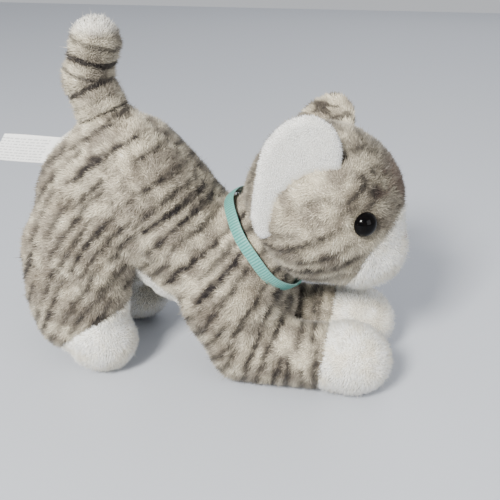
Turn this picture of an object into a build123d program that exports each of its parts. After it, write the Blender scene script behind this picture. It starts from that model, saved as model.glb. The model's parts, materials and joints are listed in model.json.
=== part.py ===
"""A crouching plush kitten as its separate sewn and stuffed pieces.

Front paws and elbows lie on the floor, the rump and tail stand up, and the head rests over the paws.
Millimetres, +Z up. The kitten faces -Y and its right side is -X. The floor is Z = 0, and X = Y = 0 is
the middle of the whole toy's outline, from the muzzle to the end of the care label.
"""

from build123d import *
import math
import os

# Driving dimensions
SKIN = 1.4  # pile fabric with its backing
SEAM_GAP = 0.15  # between two panels, and between a panel and the filling
MUZZLE_Y, LABEL_END_Y = -90.5, 90.5

# Torso: outline sections from the rump forward: (y, z of the centre, forward lean, half width, half height)
TORSO_SECTIONS = (
    (70.5, 68.0, 0, 8.0, 10.0),
    (63.0, 71.5, 0, 19.5, 22.5),
    (48.0, 76.5, 0, 27.0, 30.0),
    (34.0, 76.5, 0, 29.0, 33.0),
    (20.0, 74.0, 0, 29.0, 34.5),
    (6.0, 64.5, 0, 28.0, 32.5),
    (-8.0, 49.5, 0, 26.5, 34.0),
    (-22.0, 43.0, 0, 25.5, 29.0),
    (-35.0, 38.0, 0, 20.0, 21.0),
    (-43.0, 35.0, 0, 11.0, 11.0),
)
BELLY_HALF_WIDTH = 9.0  # the pale gusset between the two side panels

# Neck and head
NECK = Vector(0, -33.5, 62.0)  # the head's pivot, in the middle of the ribbon
NECK_RISE = 37.0  # degrees that the neck's axis climbs, going forward
NECK_AXIS = Vector(0, -math.cos(math.radians(NECK_RISE)), math.sin(math.radians(NECK_RISE)))
NECK_R, NECK_BALL_R = 22.4, 15.0
GROOVE_S = -10.2  # the torso's shoulder behind the ribbon, along the neck's axis from the pivot
NECK_FACE_S, HEAD_FACE_S = -4.6, 0.6
HEAD_R, HEAD_REACH = 32.8, 25.6
MUZZLE_R, MUZZLE_Z = 18.0, 60.0
FOREHEAD_HALF_WIDTH = 11.0

# Ribbon collar
RIBBON_WIDTH, RIBBON_THICKNESS, RIBBON_R, RIBBON_S = 6.0, 0.5, 23.8, -4.4

# Eyes
EYE_AIM = Vector(-0.82, -0.566, 0.08).normalized()  # right eye, from the head's centre
EYE_R, EYE_RISE, SHANK_R, SHANK_LENGTH = 4.8, 3.2, 1.3, 8.0
WASHER_R, WASHER_THICKNESS = 5.0, 1.0

# Ears. Both roots are alike, but the right flap is laid back and the left one stands out more to its side
EAR_FRONT, EAR_BACK = Vector(-19.5, -65.5, 101.5), Vector(-26.0, -31.5, 76.5)
EAR_PLY = 1.4
EAR_FLAPS = {"right": (46.0, 26.0), "left": (22.0, 23.0)}  # degrees back from straight out of the head, height
# The flap's rounded outline from its front root to its back root, in halves of its root and in heights
EAR_OUTLINE = ((-1.0, 0.0), (-1.04, 0.5), (-0.85, 0.86), (-0.33, 1.0), (0.21, 0.79), (1.0, 0.0))

# Tail
TAIL_ROOT, TAIL_BEND, TAIL_TIP = Vector(0, 36.5, 106.0), Vector(0, 43.5, 122.5), Vector(0, 39.5, 138.0)
TAIL_R, TAIL_TIP_R = 12.2, 10.6
TAIL_FLARE = 24.0  # degrees that the torso opens round the tail's root
TAIL_RIM = 7.2  # the lower half's rim, below the bend

# Legs, as the right ones. Each turns on a flat-sided disc let into the torso's side
SHOULDER_Y, SHOULDER_Z, SHOULDER_R, SHOULDER_OUTER_X = -19.0, 33.0, 20.0, 31.0
FORE_INNER_X, FORE_X, FORE_R, FORE_AXIS_Z = 10.0, 17.0, 14.6, 14.0
ELBOW_Y, FRONT_TOE_Y, FRONT_CUFF_Y = -24.0, -87.5, -59.5
KEEL_FRONT_Y = -47.0  # ahead of this the forelegs may meet under the chest
HIP_Y, HIP_Z, HIP_R, HIP_INNER_X, HIP_OUTER_X = 46.5, 52.0, 24.5, 15.6, 35.0
HIND_INNER_X = 10.0
HIND_PAW, HIND_PAW_R = Vector(-23.0, 40.0, 13.8), 14.5
# Level sections of the haunch below the hip: (z, front y, back y, outer x)
HAUNCH_SECTIONS = ((9.0, 34.0, 57.0, 32.0), (18.0, 27.0, 68.0, 34.5), (28.0, 27.0, 71.5, 35.0), (38.0, 29.0, 71.5, 35.0), (47.0, 30.5, 69.5, 34.0))
HIND_CUFF = (Vector(0, 57.0, 7.0), Vector(0, 24.0, 31.0))  # the ankle seam, from its low back to its high front
SWING_GAP = 0.6

# Care label, sewn into the rump seam
LABEL_ROOT, LABEL_EDGE = Vector(0, 62.8, 91.7), Vector(0, -0.553, 0.833)  # its sewn edge's middle and direction
LABEL_WIDTH, LABEL_PLY, LABEL_SLOT, LABEL_NOTCH_R = 14.5, 0.25, 0.3, 2.6


def ball(centre, radius):
    return Pos(*centre) * Sphere(radius)


def rod(start, end, radius):
    """A round bar from start to end."""
    along = end - start
    plane = Plane(origin=start, z_dir=along)
    return plane * Cylinder(radius, along.length, align=(Align.CENTER, Align.CENTER, Align.MIN))


def capsule(start, end, radius):
    return rod(start, end, radius) + ball(start, radius) + ball(end, radius)


def block(low, high):
    """A box between two corners."""
    size = [b - a for a, b in zip(low, high)]
    middle = [(a + b) / 2 for a, b in zip(low, high)]
    return Pos(*middle) * Box(*size)


def mirrored(shape):
    """The left-hand twin of a right-hand piece."""
    return mirror(shape, about=Plane.YZ)


def along_neck(distance):
    return NECK + NECK_AXIS * distance


def beyond_neck_plane(distance):
    """Everything on the head's side of a plane across the neck."""
    return Plane(origin=along_neck(distance), z_dir=NECK_AXIS) * Box(
        200, 200, 200, align=(Align.CENTER, Align.CENTER, Align.MIN)
    )


def behind_neck_plane(distance):
    """Everything on the torso's side of a plane across the neck."""
    return Plane(origin=along_neck(distance), z_dir=-NECK_AXIS) * Box(
        200, 200, 200, align=(Align.CENTER, Align.CENTER, Align.MIN)
    )


def torso_loft(inset):
    faces = []
    last = len(TORSO_SECTIONS) - 1
    for i, (y, z, lean, half_width, half_height) in enumerate(TORSO_SECTIONS):
        a = math.radians(lean)
        forward = Vector(0, -math.cos(a), -math.sin(a))
        pull = inset if i == 0 else -inset if i == last else 0
        centre = Vector(0, y, z) + forward * pull
        plane = Plane(origin=centre, x_dir=(1, 0, 0), z_dir=forward)
        faces.append(plane * Ellipse(half_width - inset, half_height - inset))
    return loft(faces)


def torso_shape(inset=0.0):
    """The torso drawn in by inset all round, with room for the legs, tail, neck and head."""
    shape = torso_loft(inset) - beyond_neck_plane(GROOVE_S - inset)
    shape += rod(along_neck(GROOVE_S - 14), along_neck(NECK_FACE_S - inset), NECK_R - inset)
    shape -= ball(NECK, NECK_BALL_R + 0.5 + inset)
    shape -= ball(TAIL_ROOT, TAIL_R + 0.4 + inset)
    flare = 20.0 * math.tan(math.radians(TAIL_FLARE))
    shape -= Plane(origin=TAIL_ROOT, z_dir=TAIL_BEND - TAIL_ROOT) * Cone(
        TAIL_R + 0.4 + inset, TAIL_R + 0.4 + inset + flare, 20.0, align=(Align.CENTER, Align.CENTER, Align.MIN)
    )
    seam = LABEL_EDGE * (LABEL_WIDTH / 2 + 0.6 + inset)
    shape -= rod(LABEL_ROOT - seam, LABEL_ROOT + seam, LABEL_NOTCH_R + inset)
    for side in (-1, 1):
        hip = Vector(side * (HIP_INNER_X - SWING_GAP - inset), HIP_Y, HIP_Z)
        shape -= rod(hip, hip + Vector(side * 60, 0, 0), HIP_R + SWING_GAP + inset)
        shank = sorted((side * (HIND_INNER_X - SWING_GAP - inset), side * 60))
        shape -= block((shank[0], 12 - inset, -1), (shank[1], 90, 48 + inset))
        shape -= block((shank[0], 27 - inset, 40), (shank[1], 90, 50.5 + inset))
        shoulder = Vector(side * (FORE_INNER_X - SWING_GAP - inset), SHOULDER_Y, SHOULDER_Z)
        shape -= rod(shoulder, shoulder + Vector(side * 60, 0, 0), SHOULDER_R + SWING_GAP + inset)
        foreleg = sorted((shoulder.X, side * 60))
        shape -= block((foreleg[0], -60, -1), (foreleg[1], SHOULDER_Y + inset, SHOULDER_Z + inset))
        shape -= block((foreleg[0], -60, -1), (foreleg[1], 0 + inset, 24 + inset))
    return shape.solids().sort_by(SortBy.VOLUME)[-1]


def belly_zone(grow=0.0):
    """The strip below the belly, up the rump and as far as the tail, that is the pale gusset."""
    outline = Polyline(
        (-60, 22), (-25, 34), (4, 56), (24, 66), (46, 72), (49, 92), (47, 120), (90, 120), (90, -5), (-60, -5), (-60, 22)
    )
    half = BELLY_HALF_WIDTH + grow
    side = make_face(Plane.YZ * outline)
    if grow:
        side = offset(side, grow, kind=Kind.INTERSECTION)
    return Pos(-half, 0, 0) * extrude(side, 2 * half, dir=(1, 0, 0))


def torso_panels():
    shell = torso_shape() - torso_shape(SKIN)
    sides = shell - belly_zone(SEAM_GAP)
    far = 120
    right = sides & block((-far, -far, -far), (-SEAM_GAP / 2, far, far * 2))
    left = sides & block((SEAM_GAP / 2, -far, -far), (far, far, far * 2))
    return {
        "body_panel_right": right,
        "body_panel_left": left,
        "belly_panel": shell & belly_zone(),
        "body_stuffing": torso_shape(SKIN + SEAM_GAP),
    }


def head_centre():
    return along_neck(HEAD_REACH)


def head_shape(inset=0.0):
    """Skull and muzzle drawn in by inset, open towards the neck ball."""
    muzzle = Vector(0, MUZZLE_Y + MUZZLE_R, MUZZLE_Z)
    shape = ball(head_centre(), HEAD_R - inset) + ball(muzzle, MUZZLE_R - inset)
    shape = shape & beyond_neck_plane(HEAD_FACE_S + inset)
    return shape - ball(NECK, NECK_BALL_R + 0.5 + inset)


def muzzle_zone(grow=0.0):
    """The white face patch: everything in front of a plane that leans forward as it rises."""
    plane = Plane(origin=(0, -79.0 + grow, 62.0), z_dir=(0, -0.94, -0.34))
    patch = plane * Box(120, 120, 60, align=(Align.CENTER, Align.CENTER, Align.MIN))
    return patch & block((-80, -140, 0), (80, 0, 73.0 + grow))


def crown_zone(grow=0.0):
    """The strip from the bridge of the nose over the crown to the back of the head."""
    outline = Polyline((-120, 73.5), (-62, 73.5), (-40, 88), (-15, 88), (-15, 160), (-120, 160), (-120, 73.5))
    half = FOREHEAD_HALF_WIDTH + grow
    side = make_face(Plane.YZ * outline)
    if grow:
        side = offset(side, grow, kind=Kind.INTERSECTION)
    return Pos(-half, 0, 0) * extrude(side, 2 * half, dir=(1, 0, 0))


def head_panels():
    shell = head_shape() - head_shape(SKIN)
    hole = rod(head_centre(), head_centre() + EYE_AIM * 50, SHANK_R + 0.1)
    shell -= hole
    shell -= mirrored(hole)
    face = shell & muzzle_zone()
    rest = shell - muzzle_zone(SEAM_GAP)
    crown = crown_zone()
    sides = rest - crown_zone(SEAM_GAP)
    far = 200
    filling = head_shape(SKIN + SEAM_GAP)
    filling -= shank_room()
    filling -= mirrored(shank_room())
    return {
        "forehead_panel": rest & crown,
        "head_panel_right": sides & block((-far, -far, -far), (-SEAM_GAP / 2, far, far)),
        "head_panel_left": sides & block((SEAM_GAP / 2, -far, -far), (far, far, far)),
        "muzzle_panel": face,
        "head_stuffing": filling,
    }


def shank_room():
    """The room that the right eye's shank and washer take in the filling."""
    centre = head_centre()
    inner = HEAD_R - SKIN - SHANK_LENGTH - 0.3
    washer_out = HEAD_R - SKIN + 0.5
    washer_in = HEAD_R - SKIN - SEAM_GAP - WASHER_THICKNESS - 1.4
    return rod(centre + EYE_AIM * inner, centre + EYE_AIM * washer_out, SHANK_R + 0.2) + rod(
        centre + EYE_AIM * washer_in, centre + EYE_AIM * washer_out, WASHER_R + 0.3
    )


def eye():
    """A glossy safety eye: a low dome on a barbed shank."""
    centre = head_centre()
    seat = centre + EYE_AIM * (HEAD_R + 0.3)
    dome_r = (EYE_R**2 + EYE_RISE**2) / (2 * EYE_RISE)
    dome = ball(seat + EYE_AIM * (EYE_RISE - dome_r), dome_r) & rod(seat, seat + EYE_AIM * 20, EYE_R + 1)
    return dome + rod(seat - EYE_AIM * SHANK_LENGTH, seat + EYE_AIM * 0.5, SHANK_R)


def eye_washer():
    """The flat washer that grips the shank behind the fabric, far enough in to clear the fabric's curve."""
    outer = head_centre() + EYE_AIM * (HEAD_R - SKIN - SEAM_GAP - 0.6)
    inner = outer - EYE_AIM * WASHER_THICKNESS
    return rod(inner, outer, WASHER_R) - rod(inner - EYE_AIM, outer + EYE_AIM, SHANK_R + 0.05)


def nose():
    """The embroidered nose, a low rounded triangle on the muzzle's front."""
    tip = Vector(0, MUZZLE_Y - 0.3, MUZZLE_Z + 5.5)
    plane = Plane(origin=tip + Vector(0, 2.0, 0), x_dir=(1, 0, 0), z_dir=(0, -1, 0.28))
    outline = Polyline((-3.8, 2.2), (3.8, 2.2), (0, -2.6), (-3.8, 2.2))
    pad = extrude(plane * fillet(make_face(outline).vertices(), 1.0), 1.5)
    return pad - ball((0, MUZZLE_Y + MUZZLE_R, MUZZLE_Z), MUZZLE_R + 0.1)


def mouth_stitch():
    """Two short threads that run down and out under the nose."""
    centre = Vector(0, MUZZLE_Y + MUZZLE_R, MUZZLE_Z)

    def spot(x, z):
        return centre + Vector(x, -1.0, z).normalized() * (MUZZLE_R + 0.55)

    fork = spot(0, -0.11)
    threads = ball(fork, 0.35)
    for end in (spot(0, 0.08), spot(-0.22, -0.28), spot(0.22, -0.28)):
        threads += rod(fork, end, 0.35)
    return threads


def ear_plane(lean):
    """A right ear's flat: x runs from its front root to its back root, y out of the head, z to the ear's back."""
    chord = (EAR_BACK - EAR_FRONT).normalized()
    middle = (EAR_FRONT + EAR_BACK) * 0.5
    out = middle - head_centre()
    out = (out - chord * out.dot(chord)).normalized()
    back = chord.cross(out)
    if back.Y < 0:
        back = back * -1
    a = math.radians(lean)
    rise = (out * math.cos(a) + back * math.sin(a)).normalized()
    return Plane(origin=middle, x_dir=chord, z_dir=chord.cross(rise))


def ear(side, ply):
    """One ply of an ear drawn on the right, 0 for the white inside that faces out, 1 for the back."""
    lean, height = EAR_FLAPS[side]
    half = (EAR_BACK - EAR_FRONT).length / 2
    edge = Spline(*((x * half, y * height) for x, y in EAR_OUTLINE))
    leaf = make_face(edge + Line((half, 0), (-half, 0)))
    plane = ear_plane(lean)
    backward = 1 if plane.z_dir.Y > 0 else -1
    start = ply * (EAR_PLY + SEAM_GAP) - EAR_PLY
    flap = extrude(plane.offset(backward * start) * leaf, EAR_PLY, dir=plane.z_dir * backward)
    return flap - ball(head_centre(), HEAD_R + 1.6)


def ribbon_collar():
    low = along_neck(RIBBON_S - RIBBON_WIDTH / 2)
    high = along_neck(RIBBON_S + RIBBON_WIDTH / 2)
    ring = rod(low, high, RIBBON_R + RIBBON_THICKNESS)
    return ring - rod(low - NECK_AXIS, high + NECK_AXIS, RIBBON_R)


def ribbon_tack():
    """The overlapped end of the ribbon with its tacking stitches, under the throat."""
    down = NECK_AXIS.cross(Vector(1, 0, 0))
    if down.Z > 0:
        down = down * -1
    middle = along_neck(RIBBON_S) + down * (RIBBON_R + RIBBON_THICKNESS + 0.45)
    return Plane(origin=middle, x_dir=(1, 0, 0), z_dir=down) * Box(7.0, RIBBON_WIDTH - 0.6, 0.6)


def tail_lower(inset=0.0):
    """A tapered tube with a round root, hollowed at the top for the upper half's round end."""
    along = TAIL_BEND - TAIL_ROOT
    cone = Plane(origin=TAIL_ROOT, z_dir=along) * Cone(
        TAIL_R - inset, TAIL_TIP_R - inset, along.length, align=(Align.CENTER, Align.CENTER, Align.MIN)
    )
    shape = cone + ball(TAIL_ROOT, TAIL_R - inset)
    bisector = (along.normalized() + (TAIL_TIP - TAIL_BEND).normalized()).normalized()
    rim = Plane(origin=TAIL_BEND - bisector * (TAIL_RIM + inset), z_dir=bisector)
    shape -= rim * Box(80, 80, 80, align=(Align.CENTER, Align.CENTER, Align.MIN))
    return shape - ball(TAIL_BEND, TAIL_TIP_R + 0.3 + inset)


def tail_upper(inset=0.0):
    return capsule(TAIL_BEND, TAIL_TIP, TAIL_TIP_R - inset)


def domed_disc(y, z, radius, inner, outer, inset):
    """A right-hand disc across X, flat inside and domed outside."""
    reach, low, high = radius - inset, inner + inset, outer - inset
    rim = low + (high - low) * 0.45
    profile = Line((0, low), (reach, low)) + Line((reach, low), (reach, rim))
    profile += Spline((reach, rim), (reach * 0.72, rim + (high - rim) * 0.74), (0, high), tangents=((0, 1), (-1, 0)))
    profile += Line((0, high), (0, low))
    turned = revolve(make_face(profile), Axis.Y, 360)
    return Pos(0, y, z) * (Rot(0, 0, 90) * turned)


def front_leg(inset=0.0):
    """A shoulder disc, a forearm that lies along the floor and a round paw."""
    elbow = Vector(-FORE_X, ELBOW_Y, FORE_AXIS_Z)
    toe = Vector(-FORE_X, FRONT_TOE_Y + FORE_R, FORE_AXIS_Z)
    forearm = capsule(elbow, toe, FORE_R - inset)
    forearm -= block((-FORE_INNER_X - inset, KEEL_FRONT_Y - inset, -40), (40, 60, 100))
    shape = forearm + domed_disc(SHOULDER_Y, SHOULDER_Z, SHOULDER_R, FORE_INNER_X, SHOULDER_OUTER_X, inset)
    return shape & block((-80, -120, inset), (80, 60, 120))


def hind_leg(inset=0.0):
    """A hip disc, a broad haunch that hangs from it and a round paw."""
    faces = []
    for z, front, back, outer in HAUNCH_SECTIONS:
        at = z + inset if z == HAUNCH_SECTIONS[0][0] else z
        centre = Pos(-(HIND_INNER_X - 3.0 + outer) / 2, (front + back) / 2, at)
        faces.append(centre * Ellipse((outer - HIND_INNER_X + 3.0) / 2 - inset, (back - front) / 2 - inset))
    haunch = loft(faces) - block((-HIND_INNER_X - inset, -20, -5), (40, 120, 80))
    shape = haunch + ball(HIND_PAW, HIND_PAW_R - inset) & block((-80, -20, inset), (80, 120, 120))
    return shape + domed_disc(HIP_Y, HIP_Z, HIP_R, HIP_INNER_X, HIP_OUTER_X, inset)


def leg_nodes(name, paw_name, shape, cuff):
    """The tabby panel, the white paw panel and the filling of one right leg, and their left twins."""
    shell = shape() - shape(SKIN)
    upper = shell - cuff(SEAM_GAP)
    right = {
        f"{name}_right_panel": upper,
        f"{paw_name}_right_panel": shell & cuff(0.0),
        f"{name}_right_stuffing": shape(SKIN + SEAM_GAP),
    }
    left = {key.replace("right", "left"): mirrored(value) for key, value in right.items()}
    return {**right, **left}


def front_cuff(grow):
    return block((-80, -120, -5), (0, FRONT_CUFF_Y + grow, 60))


def hind_cuff(grow):
    """Everything in front of and below the sloping ankle seam."""
    low, high = HIND_CUFF
    slope = (high - low).normalized()
    normal = Vector(0, -slope.Z, slope.Y) * -1
    if normal.Z > 0:
        normal = normal * -1
    below = Plane(origin=low - normal * grow, x_dir=(1, 0, 0), z_dir=normal) * Box(
        100, 200, 80, align=(Align.CENTER, Align.CENTER, Align.MIN)
    )
    return below & block((-80, 0, -5), (0, 100, 33 + grow))


def care_label():
    """A folded tape: two plies that meet at the far end."""
    half = LABEL_PLY + LABEL_SLOT / 2
    edge = LABEL_EDGE * (LABEL_WIDTH / 2)
    a, b = LABEL_ROOT - edge, LABEL_ROOT + edge
    outline = Polyline((a.Y, a.Z), (LABEL_END_Y, a.Z), (LABEL_END_Y, b.Z), (b.Y, b.Z), (a.Y, a.Z))
    side = make_face(Plane.YZ * outline)
    tape = Pos(-half, 0, 0) * extrude(side, 2 * half, dir=(1, 0, 0))
    slot = block((-LABEL_SLOT / 2, 0, 0), (LABEL_SLOT / 2, LABEL_END_Y - 0.4, 140))
    return tape - slot


def everything():
    nodes = {**torso_panels(), **head_panels()}
    nodes["neck_stuffing"] = ball(NECK, NECK_BALL_R)
    nodes["nose"] = nose()
    nodes["mouth_stitch"] = mouth_stitch()
    for name, shape in (("eye", eye()), ("eye_washer", eye_washer())):
        nodes[f"{name}_right"] = shape
        nodes[f"{name}_left"] = mirrored(shape)
    for ply, word in ((0, "inner"), (1, "outer")):
        nodes[f"ear_right_{word}"] = ear("right", ply)
        nodes[f"ear_left_{word}"] = mirrored(ear("left", ply))
    nodes["ribbon_collar"] = ribbon_collar()
    nodes["ribbon_tack"] = ribbon_tack()
    for name, shape in (("tail_lower", tail_lower), ("tail_upper", tail_upper)):
        nodes[f"{name}_panel"] = shape() - shape(SKIN)
        nodes[f"{name}_stuffing"] = shape(SKIN + SEAM_GAP)
    nodes.update(leg_nodes("front_leg", "front_paw", front_leg, front_cuff))
    nodes.update(leg_nodes("hind_leg", "hind_paw", hind_leg, hind_cuff))
    nodes["care_label"] = care_label()
    return nodes


def main():
    os.makedirs("parts", exist_ok=True)
    for name, shape in everything().items():
        export_step(shape, f"parts/{name}.step")


main()
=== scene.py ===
"""The visible plush kitten, built round the CAD frame. Shapes are in millimetres, in the row frame."""

import itertools
import json
import math

import bmesh
import bpy
import numpy as np
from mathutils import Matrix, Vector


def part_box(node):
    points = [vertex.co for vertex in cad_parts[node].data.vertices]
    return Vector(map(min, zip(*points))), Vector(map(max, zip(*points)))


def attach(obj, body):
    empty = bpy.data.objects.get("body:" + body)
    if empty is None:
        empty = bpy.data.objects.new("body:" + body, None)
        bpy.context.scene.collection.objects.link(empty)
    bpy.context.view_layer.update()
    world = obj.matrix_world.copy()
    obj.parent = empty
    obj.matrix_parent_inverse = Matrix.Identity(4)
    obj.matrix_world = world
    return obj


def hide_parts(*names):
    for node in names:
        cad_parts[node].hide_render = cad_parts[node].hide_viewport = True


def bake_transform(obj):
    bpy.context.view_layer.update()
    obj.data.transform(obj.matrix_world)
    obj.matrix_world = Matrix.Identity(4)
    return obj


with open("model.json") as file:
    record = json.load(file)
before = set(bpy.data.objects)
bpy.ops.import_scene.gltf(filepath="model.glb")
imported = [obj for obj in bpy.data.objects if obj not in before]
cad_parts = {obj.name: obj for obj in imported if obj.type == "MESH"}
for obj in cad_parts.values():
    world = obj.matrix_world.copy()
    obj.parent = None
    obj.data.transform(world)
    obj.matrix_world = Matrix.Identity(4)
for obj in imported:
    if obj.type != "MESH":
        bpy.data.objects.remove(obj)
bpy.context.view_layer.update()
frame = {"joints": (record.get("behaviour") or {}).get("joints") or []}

MM = 0.001
JOINTS = {joint["name"]: joint for joint in frame["joints"]}
SIDES = ((-1, "right"), (1, "left"))


def vec(*values):
    return np.array(values, float)


def unit(v):
    return v / np.linalg.norm(v, axis=-1, keepdims=True)


def pivot(joint):
    return np.array(JOINTS[joint]["pos_m"], float) / MM


def joint_axis(joint):
    return unit(np.array(JOINTS[joint]["axis"], float))


def cad_box(node):
    low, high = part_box(node)
    return np.array(low, float) / MM, np.array(high, float) / MM


def pointing(v, axis, sign=1):
    """v or its opposite, whichever runs the sign way along an axis."""
    return v if v[axis] * sign >= 0 else -v


# ---------------------------------------------------------------- places, read from the frame
NECK, NECK_AXIS = pivot("head_nod"), joint_axis("head_turn")
HIP, SHOULDER = pivot("hind_leg_right_swing"), pivot("front_leg_right_swing")
TAIL_ROOT, TAIL_BEND = pivot("tail_sway"), pivot("tail_curl")
TAIL_TIP_HIGH = cad_box("tail_upper_panel")[1]
MUZZLE_LOW = cad_box("muzzle_panel")[0]
FRONT_PAW_LOW, FRONT_PAW_HIGH = cad_box("front_paw_right_panel")
HIND_PAW_LOW = cad_box("hind_paw_right_panel")[0]
LABEL_HIGH = cad_box("care_label")[1]

PILE = 1.3  # the skin lies this far under the CAD surface, and the pile stands on it
SKIN_T = 0.8
HEAD_R, HEAD_REACH = 32.8, 25.6
HEAD = NECK + NECK_AXIS * HEAD_REACH
MUZZLE_R = 18.0
MUZZLE = vec(0, MUZZLE_LOW[1] + MUZZLE_R, 60.0)
EYE_AIM = unit(vec(-0.82, -0.566, 0.08))
TAIL_R, TAIL_TIP_R = 12.2, 10.6
TAIL_TIP = vec(0, 39.5, TAIL_TIP_HIGH[2] - TAIL_TIP_R)
FORE_R, FORE_Z = 14.6, 14.0
ELBOW = vec(FRONT_PAW_LOW[0] + FORE_R, -24.0, FORE_Z)
WRIST_Y = FRONT_PAW_HIGH[1]
HIND_PAW = vec(HIND_PAW_LOW[0] + 14.5, 40.0, 13.8)
ANKLE_LOW, ANKLE_HIGH = vec(0, 57.0, 7.0), vec(0, 24.0, 31.0)

# Torso: (y, z of the centre, half width, half height), from the rump forward, as the CAD torso has them
TORSO = np.array(
    [
        (72.5, 67.5, 0.0, 0.0),
        (70.5, 68.0, 8.0, 10.0),
        (63.0, 71.5, 19.5, 22.5),
        (48.0, 76.5, 27.0, 30.0),
        (34.0, 76.5, 29.0, 33.0),
        (20.0, 74.0, 29.0, 34.5),
        (6.0, 64.5, 28.0, 32.5),
        (-8.0, 49.5, 26.5, 34.0),
        (-22.0, 43.0, 25.5, 29.0),
        (-35.0, 38.0, 20.0, 21.0),
        (-43.0, 35.0, 11.0, 11.0),
        (-46.0, 34.5, 0.0, 0.0),
    ]
)


# ---------------------------------------------------------------- fields: negative inside, in millimetres
def dot(a, b):
    return (a * b).sum(-1)


def smin(a, b, k):
    h = np.clip(0.5 + 0.5 * (b - a) / k, 0, 1)
    return b + (a - b) * h - k * h * (1 - h)


def smax(a, b, k):
    return -smin(-a, -b, k)


def ball(p, centre, radius):
    return np.sqrt(dot(p - centre, p - centre)) - radius


def ellipsoid(p, centre, radii):
    q = (p - centre) / radii
    a = np.sqrt(dot(q, q))
    q = q / radii
    b = np.sqrt(dot(q, q)) + 1e-9
    return a * (a - 1) / b


def round_cone(p, a, b, ra, rb):
    """A solid swept by a ball that grows or shrinks from a to b."""
    ba, pa = b - a, p - a
    l2, rr = dot(ba, ba), ra - rb
    a2 = l2 - rr * rr
    y = dot(pa, ba)
    z = y - l2
    x2 = dot(pa * l2 - np.multiply.outer(y, ba), pa * l2 - np.multiply.outer(y, ba))
    y2, z2 = y * y * l2, z * z * l2
    k = np.sign(rr) * rr * rr * x2
    side = (np.sqrt(x2 * a2 * (1 / l2)) + y * rr) * (1 / l2) - ra
    top = np.sqrt(x2 + z2) / l2 - rb
    bottom = np.sqrt(x2 + y2) / l2 - ra
    return np.where(np.sign(z) * a2 * z2 > k, top, np.where(np.sign(y) * a2 * y2 < k, bottom, side))


def natural_spline(x, y):
    """A dense table of the natural cubic through the points (x rising)."""
    n = len(x)
    h = np.diff(x)
    m, r = np.zeros((n, n)), np.zeros(n)
    m[0, 0] = m[-1, -1] = 1
    for i in range(1, n - 1):
        m[i, i - 1 : i + 2] = h[i - 1], 2 * (h[i - 1] + h[i]), h[i]
        r[i] = 6 * ((y[i + 1] - y[i]) / h[i] - (y[i] - y[i - 1]) / h[i - 1])
    c = np.linalg.solve(m, r)
    dense = np.linspace(x[0], x[-1], 600)
    i = np.clip(np.searchsorted(x, dense) - 1, 0, n - 2)
    t, u = dense - x[i], x[i + 1] - dense
    value = (c[i] * u**3 + c[i + 1] * t**3) / (6 * h[i]) + (y[i] / h[i] - c[i] * h[i] / 6) * u
    value += (y[i + 1] / h[i] - c[i + 1] * h[i] / 6) * t
    return dense, value


def torso_tables():
    rows = TORSO[::-1]
    y = rows[:, 0]
    dense, zc = natural_spline(y, rows[:, 1])
    # The squares of the half sizes are joined linearly near the ends, which rounds them off.
    widths = np.interp(dense, y, rows[:, 2] ** 2)
    heights = np.interp(dense, y, rows[:, 3] ** 2)
    kernel = np.hanning(61)
    kernel /= kernel.sum()

    def smooth(v):
        return np.convolve(np.pad(v, 30, mode="edge"), kernel, "valid")

    inner = np.clip(np.minimum(dense - y[0], y[-1] - dense) / 6, 0, 1)
    widths = widths + (smooth(widths) - widths) * inner
    heights = heights + (smooth(heights) - heights) * inner
    return dense, zc, np.maximum(widths, 1.0), np.maximum(heights, 1.0)


T_Y, T_Z, T_W, T_H = torso_tables()
T_DZ, T_DW, T_DH = (np.gradient(v, T_Y) for v in (T_Z, T_W, T_H))


def torso_barrel(p):
    x, y, z = p[:, 0], p[:, 1], p[:, 2]
    zc, w, h = (np.interp(y, T_Y, v) for v in (T_Z, T_W, T_H))
    dzc, dw, dh = (np.interp(y, T_Y, v) for v in (T_DZ, T_DW, T_DH))
    u = z - zc
    q = np.sqrt(x * x / w + u * u / h) + 1e-6
    gx, gz = x / w, u / h
    gy = -(x * x * dw / (w * w) + u * u * dh / (h * h)) / 2 - u * dzc / h
    across = np.sqrt(gx * gx + gz * gz + 1e-9)
    d = (q - 1) * q / np.hypot(across, np.clip(gy, -1.2 * across, 1.2 * across))
    return np.maximum(d, np.maximum(y - T_Y[-1], T_Y[0] - y))


def neck_s(p):
    return (p - NECK) @ NECK_AXIS


def neck_radius(p):
    off = (p - NECK) - np.multiply.outer(neck_s(p), NECK_AXIS)
    return np.sqrt(dot(off, off))


def mirror_x(p):
    q = p.copy()
    q[:, 0] = -np.abs(q[:, 0])
    return q


def torso_field(p):
    s = neck_s(p)
    barrel = smax(torso_barrel(p), s + 9.0, 7.0)
    stub = smax(neck_radius(p) - 22.2, np.maximum(s + 1.5, -s - 26), 3.0)
    pad = ellipsoid(p, vec(0, 3.0, 46.0), vec(24.0, 25.0, 18.5))
    return smin(smin(barrel, pad, 6.0), stub, 7.0)


def hind_leg_field(p):
    thigh = ellipsoid(p, vec(-21.5, HIP[1] + 1.0, HIP[2] - 1.0), vec(13.5, 24.5, 26.5))
    haunch = ellipsoid(p, vec(-21.5, 50.0, 34.0), vec(13.5, 22.0, 21.0))
    hock = ellipsoid(p, vec(-21.5, 54.0, 20.5), vec(11.5, 13.5, 13.5))
    leg = smin(smin(thigh, haunch, 6.0), hock, 7.0)
    shin = ellipsoid(p, vec(-21.5, 37.0, 32.0), vec(12.0, 11.0, 14.0))
    return smin(leg, shin, 7.0)


def hind_paw_field(p):
    return smin(
        ellipsoid(p, HIND_PAW + vec(0, -1.5, 0.4), vec(14.2, 15.6, 14.2)),
        ellipsoid(p, HIND_PAW + vec(0, 2.0, 7.0), vec(12.5, 14.0, 12.0)),
        5.0,
    )


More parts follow.
